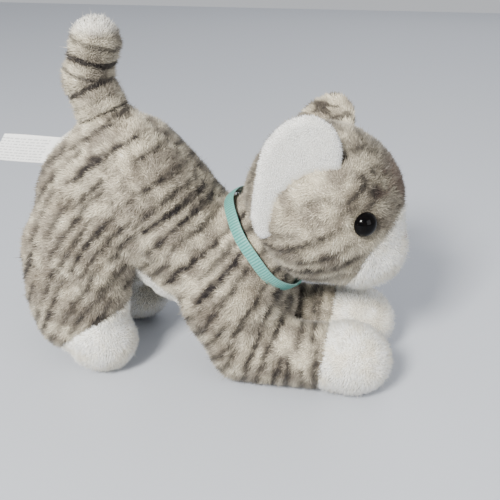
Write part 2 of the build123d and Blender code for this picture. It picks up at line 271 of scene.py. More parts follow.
def front_leg_field(p):
    shoulder = ellipsoid(p, vec(-19.0, SHOULDER[1] + 0.5, SHOULDER[2] + 1.5), vec(12.5, 20.0, 21.5))
    arm = round_cone(p, ELBOW, vec(ELBOW[0], WRIST_Y, FORE_Z + 0.5), FORE_R, FORE_R - 0.4)
    return smin(shoulder, arm, 9.0)


def front_paw_field(p):
    toe_y = FRONT_PAW_LOW[1] + FORE_R
    return smin(
        ellipsoid(p, vec(ELBOW[0], toe_y + 1.0, FORE_Z + 0.6), vec(14.4, 15.4, 14.8)),
        ellipsoid(p, vec(ELBOW[0], toe_y + 7.0, FORE_Z + 2.0), vec(13.6, 14.0, 14.2)),
        6.0,
    )


def tail_field(p):
    low = round_cone(p, TAIL_ROOT - vec(0, 3.0, 7.0), TAIL_BEND + vec(0, 0.8, 1.0), TAIL_R, TAIL_TIP_R - 0.7)
    high = round_cone(p, TAIL_BEND + vec(0, 1.0, 1.0), TAIL_TIP, TAIL_TIP_R - 0.9, TAIL_TIP_R - 0.4)
    return smin(low, high, 3.0)


def ankle_side(p):
    """Positive on the haunch's side of the ankle seam, negative on the paw's."""
    slope = unit(ANKLE_HIGH - ANKLE_LOW)
    slope = unit(ANKLE_HIGH - ANKLE_LOW)
    normal = pointing(vec(0, slope[2], -slope[1]), 2)
    bow = 0.006 * (p[:, 1] - 40) ** 2
    return (p - ANKLE_LOW) @ normal + bow - 4.2


def wrist_side(p):
    """Positive on the forearm's side of the wrist seam."""
    return p[:, 1] - (WRIST_Y - 0.10 * (p[:, 2] - FORE_Z)) - 0.3


def belly_edge(p, torso, hind):
    """Negative inside the pale gusset under the belly and up the rump, which stays off the hind legs."""
    y, z = p[:, 1], p[:, 2]
    top = np.interp(y, [-60, -25, 4, 24, 46, 49, 52], [20, 32, 50, 60, 66, 92, 140])
    under = np.interp(y, [-24, -14, -8, 2, 12, 20, 26, 32], [6, 24, 30.5, 37, 43.5, 49, 53, 56])
    middle = np.maximum(np.abs(p[:, 0]) - 9.0, z - top)
    flank = np.maximum(np.maximum(z - under, np.maximum(1 - y, y - 32) * 2), torso - hind + 1.0)
    return smin(middle, flank, 2.0)


def groove(distance, depth, width):
    return depth * np.exp(-((distance / width) ** 2))


def body_field(p):
    q = mirror_x(p)
    torso = torso_field(p)
    hind = smin(hind_leg_field(q), hind_paw_field(q), 3.5)
    fore = smin(front_leg_field(q), front_paw_field(q), 3.0)
    d = smin(torso, hind, 9.0)
    d = smin(d, fore, 8.0)
    d = smin(d, tail_field(p), 5.0)
    y, z = p[:, 1], p[:, 2]
    seams = groove(ankle_side(p), 0.9, 1.1) * (y > 12) * (z < 40)
    seams = seams + groove(wrist_side(p), 0.9, 1.1) * (y < -40)
    seams = seams + groove(p[:, 0], 0.5, 0.9) * (z > 60) * (y > -30) * (ball(p, TAIL_ROOT, 13.0) > 0)
    seams = seams + groove(belly_edge(p, torso, hind), 0.6, 1.0) * (y > -26)
    tail_s = (p - TAIL_ROOT) @ unit(TAIL_BEND - TAIL_ROOT)
    seams = seams + groove(tail_s - 3.0, 0.9, 1.3) * (ball(p, TAIL_ROOT, 19.0) < 0)
    lumps = 0.55 * (fbm(p / 15.0, 11, 2) - 0.5) * 2
    d = d + seams + PILE + lumps
    return smax(d, -z + 0.25, 1.5)


def muzzle_side(p):
    """Negative inside the white face patch, which runs from the chin to the inner corner of each eye."""
    y, z = p[:, 1], p[:, 2]
    edge = np.interp(z, [38, 50, 60, 70, 77, 82], [-63.0, -67.5, -72.0, -76.0, -79.5, -86.0])
    return smax(y - edge, z - 80.0 + 0.03 * p[:, 0] ** 2, 3.0)


def forehead_side(p):
    """Negative inside the gusset over the crown."""
    y, z = p[:, 1], p[:, 2]
    half = np.interp(y, [-90, -80, -62, -40, -15], [7.0, 13.0, 16.5, 11.0, 6.0])
    low = np.interp(y, [-90, -62, -40, -15], [77.0, 86.0, 92.0, 90.0])
    return np.maximum(np.abs(p[:, 0]) - half, low - z)


def head_field(p):
    q = mirror_x(p)
    skull = ball(p, HEAD, HEAD_R)
    muzzle = ellipsoid(p, MUZZLE + vec(0, 1.0, 0), vec(MUZZLE_R + 1.5, MUZZLE_R, MUZZLE_R - 0.5))
    cheek = ball(q, MUZZLE + vec(-7.0, 4.5, -1.5), 12.5)
    d = smin(skull, smin(muzzle, cheek, 4.0), 6.0)
    s = neck_s(p)
    d = smax(d, -s - 0.6, 5.0)
    face = muzzle_side(p)
    seams = groove(face, 0.9, 1.2) * (p[:, 1] < -50)
    seams = seams + groove(forehead_side(p), 0.5, 0.9) * (face > 2)
    seams = seams + groove(ball(q, HEAD + EYE_AIM * HEAD_R, 0), 1.4, 5.5)
    lumps = 0.5 * (fbm(p / 13.0, 12, 2) - 0.5) * 2
    return d + seams + PILE + lumps


def neck_field(p):
    s = neck_s(p)
    return smax(neck_radius(p) - 20.6, np.abs(s) - 9.0, 4.0)


# ---------------------------------------------------------------- noise
def lattice(ix, iy, iz, seed):
    h = ix * 374761393 + iy * 668265263 + iz * 1440662683 + seed * 982451653
    h = (h ^ (h >> 13)) * 1274126177
    return ((h ^ (h >> 16)) & 0xFFFFFF) / float(0xFFFFFF)


def noise(p, seed):
    """Smooth value noise, 0 to 1."""
    base = np.floor(p).astype(np.int64)
    f = p - base
    f = f * f * (3 - 2 * f)
    total = 0
    for dx in (0, 1):
        wx = f[:, 0] if dx else 1 - f[:, 0]
        for dy in (0, 1):
            wy = f[:, 1] if dy else 1 - f[:, 1]
            for dz in (0, 1):
                wz = f[:, 2] if dz else 1 - f[:, 2]
                corner = lattice(base[:, 0] + dx, base[:, 1] + dy, base[:, 2] + dz, seed)
                total = total + wx * wy * wz * corner
    return total


def fbm(p, seed, octaves=3):
    total, scale, weight = 0, 0.5, 0
    for i in range(octaves):
        total = total + noise(p * 2**i, seed + i) * scale
        weight += scale
        scale /= 2
    return total / weight


# ---------------------------------------------------------------- surfaces from fields
def gradient(field, p, e=0.15):
    g = np.empty_like(p)
    for k in range(3):
        step = np.zeros(3)
        step[k] = e
        g[:, k] = (field(p + step) - field(p - step)) / (2 * e)
    return g


EDGES = [(0, 1), (2, 3), (4, 5), (6, 7), (0, 2), (1, 3), (4, 6), (5, 7), (0, 4), (1, 5), (2, 6), (3, 7)]


def surface(field, low, high, step, settle=3):
    """The field's zero surface as (points, quads), by surface nets, with the points moved onto it."""
    axes = [np.arange(a, b + step, step) for a, b in zip(low, high)]
    shape = tuple(len(a) for a in axes)
    values = np.empty(shape)
    yy, zz = np.meshgrid(axes[1], axes[2], indexing="ij")
    for i, x in enumerate(axes[0]):
        slab = np.stack([np.full(yy.size, x), yy.ravel(), zz.ravel()], -1)
        values[i] = field(slab).reshape(shape[1:])
    sign = values < 0
    count = np.zeros(tuple(n - 1 for n in shape), np.int8)
    for dx in (0, 1):
        for dy in (0, 1):
            for dz in (0, 1):
                count += sign[dx : shape[0] - 1 + dx, dy : shape[1] - 1 + dy, dz : shape[2] - 1 + dz]
    cells = np.argwhere((count > 0) & (count < 8))
    index = np.full(count.shape, -1)
    index[tuple(cells.T)] = np.arange(len(cells))
    offsets = np.array([(dx, dy, dz) for dx in (0, 1) for dy in (0, 1) for dz in (0, 1)])
    corner = np.stack([values[tuple((cells + o).T)] for o in offsets], -1)
    total, hits = np.zeros((len(cells), 3)), np.zeros(len(cells))
    for a, b in EDGES:
        cross = (corner[:, a] < 0) != (corner[:, b] < 0)
        t = np.where(cross, corner[:, a] / np.where(cross, corner[:, a] - corner[:, b], 1), 0)[:, None]
        total += np.where(cross[:, None], offsets[a] + (offsets[b] - offsets[a]) * t, 0)
        hits += cross
    points = np.array([a[0] for a in axes]) + (cells + total / hits[:, None]) * step
    quads = []
    for axis in range(3):
        u, v = (axis + 1) % 3, (axis + 2) % 3
        a = [slice(None)] * 3
        b = [slice(None)] * 3
        a[axis], b[axis] = slice(0, shape[axis] - 1), slice(1, shape[axis])
        change = np.argwhere(sign[tuple(a)] != sign[tuple(b)])
        inner = [(change[:, k] > 0) & (change[:, k] < shape[k] - 1) for k in (u, v)]
        change = change[inner[0] & inner[1]]
        ring = []
        for du, dv in ((-1, -1), (0, -1), (0, 0), (-1, 0)):
            c = change.copy()
            c[:, u] += du
            c[:, v] += dv
            ring.append(index[tuple(c.T)])
        ring = np.stack(ring, -1)
        outward = sign[tuple(change.T)]
        ring[~outward] = ring[~outward][:, ::-1]
        quads.append(ring)
    quads = np.concatenate(quads)
    for _ in range(settle):
        g = gradient(field, points)
        points = points - g * (np.clip(field(points), -step, step) / (dot(g, g) + 1e-6))[:, None]
    return points, quads


def compact(points, faces, *extras):
    """Only the points that the faces use."""
    used = np.unique(faces)
    lookup = np.full(len(points), -1)
    lookup[used] = np.arange(len(used))
    return (points[used], lookup[faces], *(e[used] for e in extras))


def triangles(quads):
    return np.concatenate([quads[:, [0, 1, 2]], quads[:, [0, 2, 3]]])


def thicken(points, quads, normals, thickness):
    """A closed sheet: the faces, a copy of them moved in, and a wall round every border."""
    n = len(points)
    edges = np.concatenate([quads[:, [i, (i + 1) % 4]] for i in range(4)])
    key = np.sort(edges, 1)
    _, inverse, counts = np.unique(key[:, 0] * n + key[:, 1], return_inverse=True, return_counts=True)
    border = edges[counts[inverse.ravel()] == 1]
    walls = np.stack([border[:, 1], border[:, 0], border[:, 0] + n, border[:, 1] + n], -1)
    shell = np.concatenate([points, points - normals * thickness])
    return shell, np.concatenate([quads, quads[:, ::-1] + n, walls])


# ---------------------------------------------------------------- meshes
def srgb(r, g, b):
    c = np.array([r, g, b], float) / 255
    return np.where(c <= 0.04045, c / 12.92, ((c + 0.055) / 1.055) ** 2.4)


def new_mesh(name, points, faces, smooth=True):
    """faces is an array of triangles or quads. Points are in millimetres."""
    mesh = bpy.data.meshes.new(name)
    count, corners = faces.shape
    mesh.vertices.add(len(points))
    mesh.vertices.foreach_set("co", (points * MM).astype(np.float32).ravel())
    mesh.loops.add(count * corners)
    mesh.loops.foreach_set("vertex_index", faces.astype(np.int32).ravel())
    mesh.polygons.add(count)
    mesh.polygons.foreach_set("loop_start", np.arange(0, count * corners, corners, dtype=np.int32))
    mesh.polygons.foreach_set("use_smooth", np.full(count, smooth))
    mesh.update(calc_edges=True)
    mesh.validate()
    return mesh


def bake_layout(mesh, cells, corner_uv):
    """A bake layout with one square cell for each group of corners. cells holds each corner's cell number."""
    side = math.ceil(math.sqrt(cells.max() + 1))
    layer = mesh.uv_layers.new(name="OFBake")
    place = np.stack([cells % side, cells // side], -1)
    layer.data.foreach_set("uv", ((place + corner_uv) / side).astype(np.float32).ravel())


def paint(mesh, colours):
    layer = mesh.color_attributes.new(name="coat", type="FLOAT_COLOR", domain="POINT")
    rgba = np.ones((len(mesh.vertices), 4), np.float32)
    rgba[:, :3] = colours
    layer.data.foreach_set("color", rgba.ravel())


def new_object(name, mesh, material):
    mesh.materials.append(material)
    obj = bpy.data.objects.new(name, mesh)
    bpy.context.scene.collection.objects.link(obj)
    return obj

# ---------------------------------------------------------------- materials
def new_material(name, roughness, **inputs):
    """A Principled material. Inputs are named as on the shader, with underscores for spaces."""
    material = bpy.data.materials.new(name)
    material.use_nodes = True
    shader = material.node_tree.nodes["Principled BSDF"]
    for key, value in {"Roughness": roughness, **inputs}.items():
        shader.inputs[key.replace("_", " ")].default_value = value
    return material, material.node_tree, shader


def node(tree, kind, **settings):
    """A node. Settings that start with in_ are its inputs."""
    made = tree.nodes.new(kind)
    for key, value in settings.items():
        if key.startswith("in_"):
            made.inputs[key[3:]].default_value = value
        else:
            setattr(made, key, value)
    return made


def grey(value):
    return (value,) * 3


def ramp(tree, driver, stops):
    """The colour of a two-stop ramp over a socket's value. Each stop is (position, colour)."""
    made = node(tree, "ShaderNodeValToRGB")
    for element, (at, colour) in zip(made.color_ramp.elements, stops):
        element.position = at
        element.color = (*colour, 1)
    tree.links.new(driver, made.inputs["Fac"])
    return made.outputs["Color"]


def times_coat(tree, tone):
    """A tone multiplied by the colours painted on the mesh."""
    painted = node(tree, "ShaderNodeVertexColor", layer_name="coat")
    product = node(tree, "ShaderNodeMix", data_type="RGBA", blend_type="MULTIPLY")
    product.inputs[0].default_value = 1.0
    tree.links.new(painted.outputs["Color"], product.inputs[6])
    tree.links.new(tone, product.inputs[7])
    return product.outputs[2]


def patterned(name, kind, settings, stops, roughness, painted=False, **inputs):
    """A material coloured by a ramp over a pattern in the piece's own space, and that pattern's value."""
    material, tree, shader = new_material(name, roughness, **inputs)
    coords = node(tree, "ShaderNodeTexCoord")
    pattern = node(tree, "ShaderNodeTex" + kind, **settings)
    tree.links.new(coords.outputs["Object"], pattern.inputs["Vector"])
    tone = ramp(tree, pattern.outputs["Fac"], stops)
    tree.links.new(times_coat(tree, tone) if painted else tone, shader.inputs["Base Color"])
    return material, tree, shader, pattern.outputs["Fac"]


def pile_material(name, sheen, tint, speckle):
    """Fabric pile: the printed coat, broken up by fine fibre speckle, with a soft sheen."""
    stops = [(0.3, grey(1 - speckle)), (0.7, grey(1 + speckle))]
    gloss = dict(Sheen_Weight=sheen, Sheen_Roughness=0.45, Sheen_Tint=(*tint, 1), Specular_IOR_Level=0.25)
    fibres = dict(in_Scale=2600.0, in_Detail=2.0)
    return patterned(name, "Noise", fibres, stops, 0.78, painted=True, **gloss)[0]


MATERIALS = {
    name: pile_material(name, sheen, tint, speckle)
    for name, sheen, tint, speckle in (
        ("tabby_plush", 0.18, (0.95, 0.92, 0.86), 0.25),
        ("white_plush", 0.30, (1, 0.98, 0.94), 0.25),
        ("belly_velour", 0.25, (1, 0.98, 0.94), 0.12),
        ("ear_velour", 0.30, (1, 1, 1), 0.08),
    )
}
FIBRES = dict(in_Scale=900.0, in_Detail=3.0, in_Distortion=2.0)
FIBRE_TONES = [(0.35, srgb(214, 214, 210)), (0.65, srgb(240, 240, 237))]
FILLING = patterned("fibre_filling", "Noise", FIBRES, FIBRE_TONES, 0.95)[0]

# ---------------------------------------------------------------- the printed coat
CREAM, GREIGE, HALO = srgb(213, 203, 181), srgb(146, 137, 123), srgb(108, 99, 89)
TAUPE, UMBER, RUSSET = srgb(34, 28, 29), srgb(118, 105, 90), srgb(82, 56, 48)
WHITE, IVORY = srgb(252, 248, 238), srgb(238, 231, 216)
EAR_WHITE, BELLY_WHITE = srgb(254, 253, 246), srgb(240, 237, 228)

# How the stripes run on the flanks, seen from the side: (forward, up, degrees above forward)
STRIPE_RUN = np.array(
    [
        (-64, 38, 62),
        (-66, 68, 70),
        (-46, 94, 38),
        (-20, 106, 22),
        (-45, 60, 55),
        (-22, 66, 44),
        (0, 88, 30),
        (5, 64, 40),
        (14, 44, 50),
        (28, 50, 58),
        (10, 22, 50),
        (32, 22, 72),
        (54, 20, 92),
    ],
    float,
)


def stripe_angle(at):
    """The run of the stripes at (forward, up) points, as radians."""
    d2 = ((at[:, None, :] - STRIPE_RUN[None, :, :2]) ** 2).sum(-1) + 30
    w = d2**-1.6
    return np.radians((w * STRIPE_RUN[None, :, 2]).sum(1) / w.sum(1))


def nearest(p, line, first=0, last=1):
    """For each of p, the distance to a line of points, the nearest segment and the share along it."""
    best, segment, share = np.full(len(p), 1e9), np.zeros(len(p), int), np.zeros(len(p))
    final = len(line) - 2
    for i, (a, b) in enumerate(zip(line[:-1], line[1:])):
        low, high = first if i == 0 else 0, last if i == final else 1
        t = np.clip(((p - a) @ (b - a)) / ((b - a) @ (b - a)), low, high)
        d = np.sqrt((((p - a) - np.multiply.outer(t, b - a)) ** 2).sum(-1))
        closer = d < best
        best, segment, share = (np.where(closer, x, y) for x, y in ((d, best), (i, segment), (t, share)))
    return best, segment, share


def flank_strokes(seed):
    """Tapered strokes of darker print, as (points, half width, darkness)."""
    rng = np.random.default_rng(seed)
    seeds, strokes = [], []
    for _ in range(3600):
        at = vec(rng.uniform(-76, 64), rng.uniform(0, 118))
        a = stripe_angle(at[None])[0]
        along = vec(math.cos(a), math.sin(a))
        across = vec(-along[1], along[0])
        reach = rng.uniform(8.0, 20.0)
        if any(abs((at - s) @ across) < 4.7 and abs((at - s) @ along) < 0.85 * (r + reach) for s, r in seeds):
            continue
        seeds.append((at, reach))
        sides = []
        for sign in (-1, 1):
            p, line = at.copy(), []
            for _ in range(8):
                a = stripe_angle(p[None])[0] + rng.normal(0, 0.12)
                p = p + sign * vec(math.cos(a), math.sin(a)) * reach / 8
                line.append(p.copy())
            sides.append(line)
        line = sides[0][::-1] + [at] + sides[1]
        strokes.append((np.array(line), rng.uniform(0.8, 1.6), rng.uniform(0.7, 1.0)))
    return strokes


def stroke_shade(at, strokes, ragged):
    """How dark the print and the soft band round it are at each point, 0 to 1. ragged shifts the edge."""
    shade, band = np.zeros(len(at)), np.zeros(len(at))
    for line, half, dark in strokes:
        low, high = line.min(0) - 4, line.max(0) + 4
        near = np.nonzero(((at > low) & (at < high)).all(1))[0]
        if not len(near):
            continue
        best, segment, share = nearest(at[near], line)
        place = (segment + share) / (len(line) - 1)
        taper = half * (0.35 + 0.65 * np.sin(np.pi * np.clip(place, 0.02, 0.98)) ** 0.7)
        edge = np.clip((taper + ragged[near] - best) / 1.7 + 0.5, 0, 1)
        shade[near] = np.maximum(shade[near], dark * edge)
        soft = np.clip((taper + 1.6 + 0.8 * ragged[near] - best) / 2.4 + 0.4, 0, 1)
        band[near] = np.maximum(band[near], dark * soft)
    return shade, band


STROKES = {-1: flank_strokes(5), 1: flank_strokes(9)}


def arc(points, half, dark):
    return (np.array(points, float), half, dark)


# Strokes on the head, as (forward, up)
HEAD_STROKES = [
    arc([(36, 66.5), (41, 66), (46, 68.5), (52, 71.5), (58, 74.5), (63, 78.5)], 1.3, 0.85),
    arc([(48, 62), (55, 64), (62, 67.5), (68, 72)], 1.2, 0.8),
    arc([(38, 57.5), (43, 56), (50, 57), (57, 58.8), (65, 62), (71, 66)], 1.3, 0.9),
    arc([(44, 50.5), (52, 51), (60, 53.5), (66, 57)], 1.1, 0.6),
    arc([(38, 72.5), (42, 73), (46, 74.5)], 1.1, 0.7),
    arc([(27, 74), (26, 82), (27, 90), (30, 97)], 1.5, 0.8),
    arc([(31.5, 84), (32, 92), (35, 99), (39, 104)], 1.5, 0.75),
    arc([(24, 66), (23, 72), (23.5, 80)], 1.2, 0.7),
    arc([(66, 88), (70, 92), (72, 97)], 1.3, 0.8),
    arc([(60, 100), (66, 103), (70, 104)], 1.2, 0.8),
    arc([(68, 96), (74, 97), (78, 95)], 1.0, 0.75),
    arc([(72, 84), (76, 88), (80, 90)], 1.0, 0.6),
    arc([(64, 107), (69, 105.5), (74, 103.5)], 1.0, 0.7),
    arc([(52, 88), (58, 89.5), (63, 88)], 1.0, 0.45),
    arc([(44, 84), (50, 86)], 1.0, 0.4),
    arc([(40, 64), (46, 62.5)], 1.0, 0.6),
    arc([(64, 84), (68, 86.5)], 1.1, 0.7),
    arc([(76, 100), (80, 95), (83, 89), (85.5, 82)], 1.3, 0.7),
    arc([(70, 104), (74, 101)], 1.4, 0.6),
    arc([(52, 108), (58, 109.5), (63, 109)], 1.4, 0.7),
    arc([(42, 107), (47, 109)], 1.3, 0.7),
    arc([(84, 90), (86.5, 84), (87, 79)], 1.1, 0.6),
    arc([(74, 92), (77, 88)], 1.2, 0.8),
]


def tabby(p, kind):
    """The printed tabby coat at points on a body, head, tail or ear."""
    mottle = fbm(p / vec(7, 6, 6), 21, 3)
    fleck = noise(p / 1.1, 25)
    base = GREIGE + (CREAM - GREIGE) * np.clip((mottle - 0.34) / 0.28, 0, 1)[:, None]
    smudge = np.clip((fbm(p / vec(11, 9, 9), 31, 2) - 0.56) / 0.16, 0, 1) * 0.40
    base = base + (UMBER - base) * smudge[:, None]
    at = np.stack([-p[:, 1], p[:, 2]], -1)
    ragged = (fbm(p / 2.6, 41, 3) - 0.5) * 3.0
    band = np.zeros(len(p))
    if kind == "tail":
        shade = tail_rings(p, ragged)
        base = base * 0.86
        base = base + (WHITE - base) * np.clip((p[:, 2:] - TAIL_TIP[2] - 2) / 5, 0, 0.8)
    elif kind == "head":
        shade, band = stroke_shade(at, HEAD_STROKES, ragged * 1.1)
        dashes = 0.55 + 0.45 * np.clip((noise(p / 2.6, 51) - 0.35) * 5, 0, 1)
        shade = shade * np.where(p[:, 1] > -72, dashes, 1.0)
    elif kind == "ear":
        shade = np.clip((fbm(p / vec(6, 6, 2.4), 61, 2) - 0.52) / 0.08, 0, 1) * 0.8
    else:
        broken = np.clip(0.86 + 1.4 * (fbm(p / 5.0, 45, 2) - 0.35), 0.6, 1)
        sides = [stroke_shade(at, STROKES[side], ragged) for side in (-1, 1)]
        shade, band = (np.where(p[:, 0] < 0, a, b) for a, b in zip(*sides))
        shade = shade * broken
    base = base + (HALO - base) * 0.55 * band[:, None]
    shade = shade * np.clip(0.72 + 0.6 * fleck, 0, 1)
    dark = TAUPE
    if kind == "head":
        brow = np.clip((-p[:, 1] - 62) / 16, 0, 1) * np.clip((p[:, 2] - 70) / 12, 0, 1)
        base = base * (1 - 0.45 * brow[:, None])
        front = np.clip((-p[:, 1] - 74) / 6, 0, 1)[:, None]
        dark = TAUPE + (RUSSET - TAUPE) * front
    return base + (dark - base) * np.clip(shade, 0, 1)[:, None]


def tail_line():
    """Points up the middle of the tail and the length to each."""
    middle, top = TAIL_ROOT * 0.5 + TAIL_BEND * 0.5, TAIL_TIP + vec(0, -3.0, 10.0)
    line = np.array([TAIL_ROOT, middle, TAIL_BEND, TAIL_TIP, top])
    return line, np.concatenate([[0], np.cumsum(np.linalg.norm(np.diff(line, axis=0), axis=1))])


# (length up the tail to the ring's middle, half width, darkness)
TAIL_RINGS = [
    (3.2, 1.5, 0.9),
    (9.5, 0.8, 0.35),
    (15.0, 1.2, 0.9),
    (20.5, 0.8, 0.8),
    (26.5, 1.3, 0.95),
    (33.5, 1.1, 0.7),
]


def tail_rings(p, ragged):
    line, run = tail_line()
    _, segment, share = nearest(p, line, -0.3, 1.3)
    place = run[segment] + share * np.diff(run)[segment] + 1.2 * (fbm(p / 5.0, 71, 2) - 0.5)
    shade = np.zeros(len(p))
    for at, half, dark in TAIL_RINGS:
        inward = half + 0.45 * ragged - np.abs(place - at)
        shade = np.maximum(shade, dark * np.clip(inward / 0.9 + 0.5, 0, 1))
    return shade


def plain(p, light, shadow):
    mottle = fbm(p / 6.0, 81, 3)
    return shadow + (light - shadow) * np.clip((mottle - 0.32) / 0.3, 0, 1)[:, None]


def coat(p, kind):
    if kind == "white":
        return plain(p, WHITE, IVORY)
    if kind == "belly":
        return plain(p, BELLY_WHITE, BELLY_WHITE * 0.86)
    if kind == "ear_white":
        return plain(p, EAR_WHITE, EAR_WHITE * 0.95)
    return tabby(p, kind)


# ---------------------------------------------------------------- pile
# kind: (slot, tufts per square mm, length, base radius, lean, jitter, painted shade at the root, spread of
# tone)
PILES = {
    "tabby": ("tabby_plush", 4.6, 2.0, 0.25, 0.55, 0.55, 0.60, 0.26),
    "head": ("tabby_plush", 4.8, 1.8, 0.24, 0.50, 0.55, 0.60, 0.26),
    "tail": ("tabby_plush", 4.6, 2.0, 0.25, 0.45, 0.60, 0.62, 0.24),
    "white": ("white_plush", 4.6, 2.0, 0.25, 0.45, 0.55, 0.80, 0.12),
    "ear": ("tabby_plush", 4.6, 1.6, 0.23, 0.50, 0.55, 0.65, 0.22),
    "belly": ("belly_velour", 5.0, 0.9, 0.22, 0.40, 0.35, 0.82, 0.08),
    "ear_white": ("ear_velour", 6.0, 0.85, 0.20, 0.50, 0.40, 0.88, 0.06),
}
PILE_SCALE = 1.0
# A small share of tufts is painted much brighter, as painted glints on the fibres.
STRAY_SHARE, GLINT_SHARE = 0.03, 0.06
ROOT_DEPTH, FLOOR_CLEAR = 0.25, 0.06
TUFT_FACES = ((0, 1, 3), (1, 2, 3), (2, 0, 3), (2, 1, 0))
TUFT_LAYOUT = [(0.1, 0.1), (0.9, 0.1), (0.5, 0.9)] * 3 + [(0.1, 0.1), (0.5, 0.3), (0.9, 0.1)]
QUAD_LAYOUT = [(0.1, 0.1), (0.9, 0.1), (0.9, 0.9), (0.1, 0.9)]
PILE_SEEDS = itertools.count(101)


def scatter(points, quads, normals, density, rng):
    """Places spread evenly over a skin, and the way out of it at each."""
    tri = triangles(quads)
    a, b, c = (points[tri[:, i]] for i in range(3))
    area = np.linalg.norm(np.cross(b - a, c - a), axis=1) / 2
    number = np.floor(area * density + rng.random(len(tri))).astype(int)
    pick = tri[np.repeat(np.arange(len(tri)), number)]
    u, v = rng.random(len(pick)), rng.random(len(pick))
    flip = u + v > 1
    u, v = np.where(flip, 1 - u, u)[:, None], np.where(flip, 1 - v, v)[:, None]

    def between_corners(values):
        return values[pick[:, 0]] * (1 - u - v) + values[pick[:, 1]] * u + values[pick[:, 2]] * v

    return between_corners(points), unit(between_corners(normals))


def add_pile(name, points, quads, normals, kind, seed, short=None, comb=(0.25, 1.0, -0.55)):
    """Fine tufts all over a skin, each a closed three-sided spike, coloured from the coat at its root, with
    painted shade at its base and painted light on its tip.
    """
    slot, density, length, radius, lean, jitter, painted_root_shade, spread = PILES[kind]
    rng = np.random.default_rng(seed)
    root, up = scatter(points, quads, normals, density * PILE_SCALE, rng)
    n = len(root)
    # Neighbouring tufts lean together, in patches, over the way the fabric was brushed
    sway = np.stack([fbm(root / 3.2, 91 + k, 2) - 0.5 for k in range(3)], -1) * 4.2
    away = np.broadcast_to(np.array(comb, float), (n, 3)) + sway + rng.normal(0, jitter, (n, 3))
    away = away - up * dot(away, up)[:, None]
    direction = unit(up + away * lean)
    reach = length * rng.uniform(0.5, 1.3, n) * (0.72 + 0.56 * fbm(root / 2.4, 95, 2))
    stray = rng.random(n) < STRAY_SHARE
    reach = np.where(stray, reach * rng.uniform(1.4, 2.1, n), reach)
    thick = radius / math.sqrt(PILE_SCALE) * rng.uniform(0.8, 1.2, n) * np.where(stray, 0.55, 1.0)
    if short is not None:
        reach = reach * short(root)
    sunk = root - up * ROOT_DEPTH
    side = unit(np.cross(up, rng.normal(0, 1, (n, 3))))
    other = np.cross(up, side)
    turns = [k * 2 * math.pi / 3 for k in range(3)]
    base = [sunk + (side * math.cos(t) + other * math.sin(t)) * thick[:, None] for t in turns]
    spike = np.stack([*base, root + direction * reach[:, None]], 1)
    spike[..., 2] = np.maximum(spike[..., 2], FLOOR_CLEAR)
    start = np.arange(n)[:, None] * 4
    faces = np.concatenate([start + np.array(f) for f in TUFT_FACES], 1).reshape(-1, 3)
    mesh = new_mesh(name, spike.reshape(-1, 3), faces)
    tint = np.minimum(coat(root, kind) * rng.uniform(1 - spread, 1 + spread * 0.75, (n, 1)), 0.96)
    # Some tufts are painted brighter, as painted glints.
    painted_glint = (rng.random(n) < GLINT_SHARE)[:, None]
    tint = np.where(painted_glint, tint * 1.5 + 0.05, tint)
    # Tuft roots are painted darker, as painted shade deep in the pile, and tips 1.15 times lighter, as
    # painted light on the fibre tips.
    paint(mesh, np.minimum(np.stack([tint * painted_root_shade] * 3 + [tint * 1.15], 1), 0.97).reshape(-1, 3))
    bake_layout(mesh, np.repeat(np.arange(n), len(TUFT_LAYOUT)), np.tile(np.array(TUFT_LAYOUT), (n, 1)))
    facing = [unit(up * 0.9 + (q - sunk) / thick[:, None] * 0.65) for q in base]
    facing.append(unit(up + direction * 0.5))
    mesh.normals_split_custom_set_from_vertices(np.stack(facing, 1).reshape(-1, 3).tolist())
    return new_object(name, mesh, MATERIALS[slot])


def add_skin(name, points, quads, normals, kind):
    """The fabric under the pile, as a closed sheet."""
    slot = PILES[kind][0]
    shell, faces = thicken(points, quads, normals, SKIN_T)
    mesh = new_mesh(name, shell, faces)
    # The skin is painted at half the coat's colour, as painted shade seen in the gaps between the tufts.
    paint(mesh, coat(shell, kind) * 0.5)
    count = len(mesh.polygons)
    bake_layout(mesh, np.repeat(np.arange(count), 4), np.tile(np.array(QUAD_LAYOUT), (count, 1)))
    return new_object(name, mesh, MATERIALS[slot])


def make_form(field, low, high, step):
    points, quads = surface(field, low, high, step)
    return points, quads, unit(gradient(field, points))


def cover(name, form, picked, kind, place, nodes, fill=0.9, **options):
    """A skin and its pile over the picked faces of a form. place puts a piece on its body, or bakes it where
    it stands.
    """
    points, quads, normals = form
    part = compact(points, quads[picked], normals)
    skin = add_skin(name + "_skin", *part, kind)
    fur = add_pile(name + "_pile", *part, kind, next(PILE_SEEDS), **options)
    for piece in (skin, fur):
        place(piece)
    if nodes:
        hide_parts(*nodes)


def shortened(share):
    return lambda root: np.full(len(root), share)


def on(body):
    return lambda piece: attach(piece, body)


def between():
    """Bakes a piece's place into its mesh, leaving it on no body."""
    return lambda piece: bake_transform(piece)


# ---------------------------------------------------------------- body, legs and tail
BODY = make_form(body_field, (-40, -93, -2.5), (40, 82, 153), 1.0)
centre = BODY[0][BODY[1]].mean(1)
x, y, z = centre.T

tail_way = unit(TAIL_BEND - TAIL_ROOT)
bend_way = unit(tail_way + unit(TAIL_TIP - TAIL_BEND))
tail_s, bend_s = (centre - TAIL_ROOT) @ tail_way, (centre - TAIL_BEND) @ bend_way
in_tail = (tail_s > 4.0) & (ball(centre, TAIL_ROOT + tail_way * 12, 30.0) < 0) & (z > 104)
on_torso, on_hind = torso_field(centre), hind_leg_field(mirror_x(centre))
in_hind_paw = (ankle_side(centre) < 0) & (y > 15) & (z < 39) & (hind_paw_field(mirror_x(centre)) < on_torso)
in_front_paw = (wrist_side(centre) < 0) & (z < 34)
in_belly = (belly_edge(centre, on_torso, on_hind) < 0) & ~in_tail & (y > -26)
in_belly &= (on_torso < on_hind + 0.5) & (on_torso < front_leg_field(mirror_x(centre)) + 0.5)
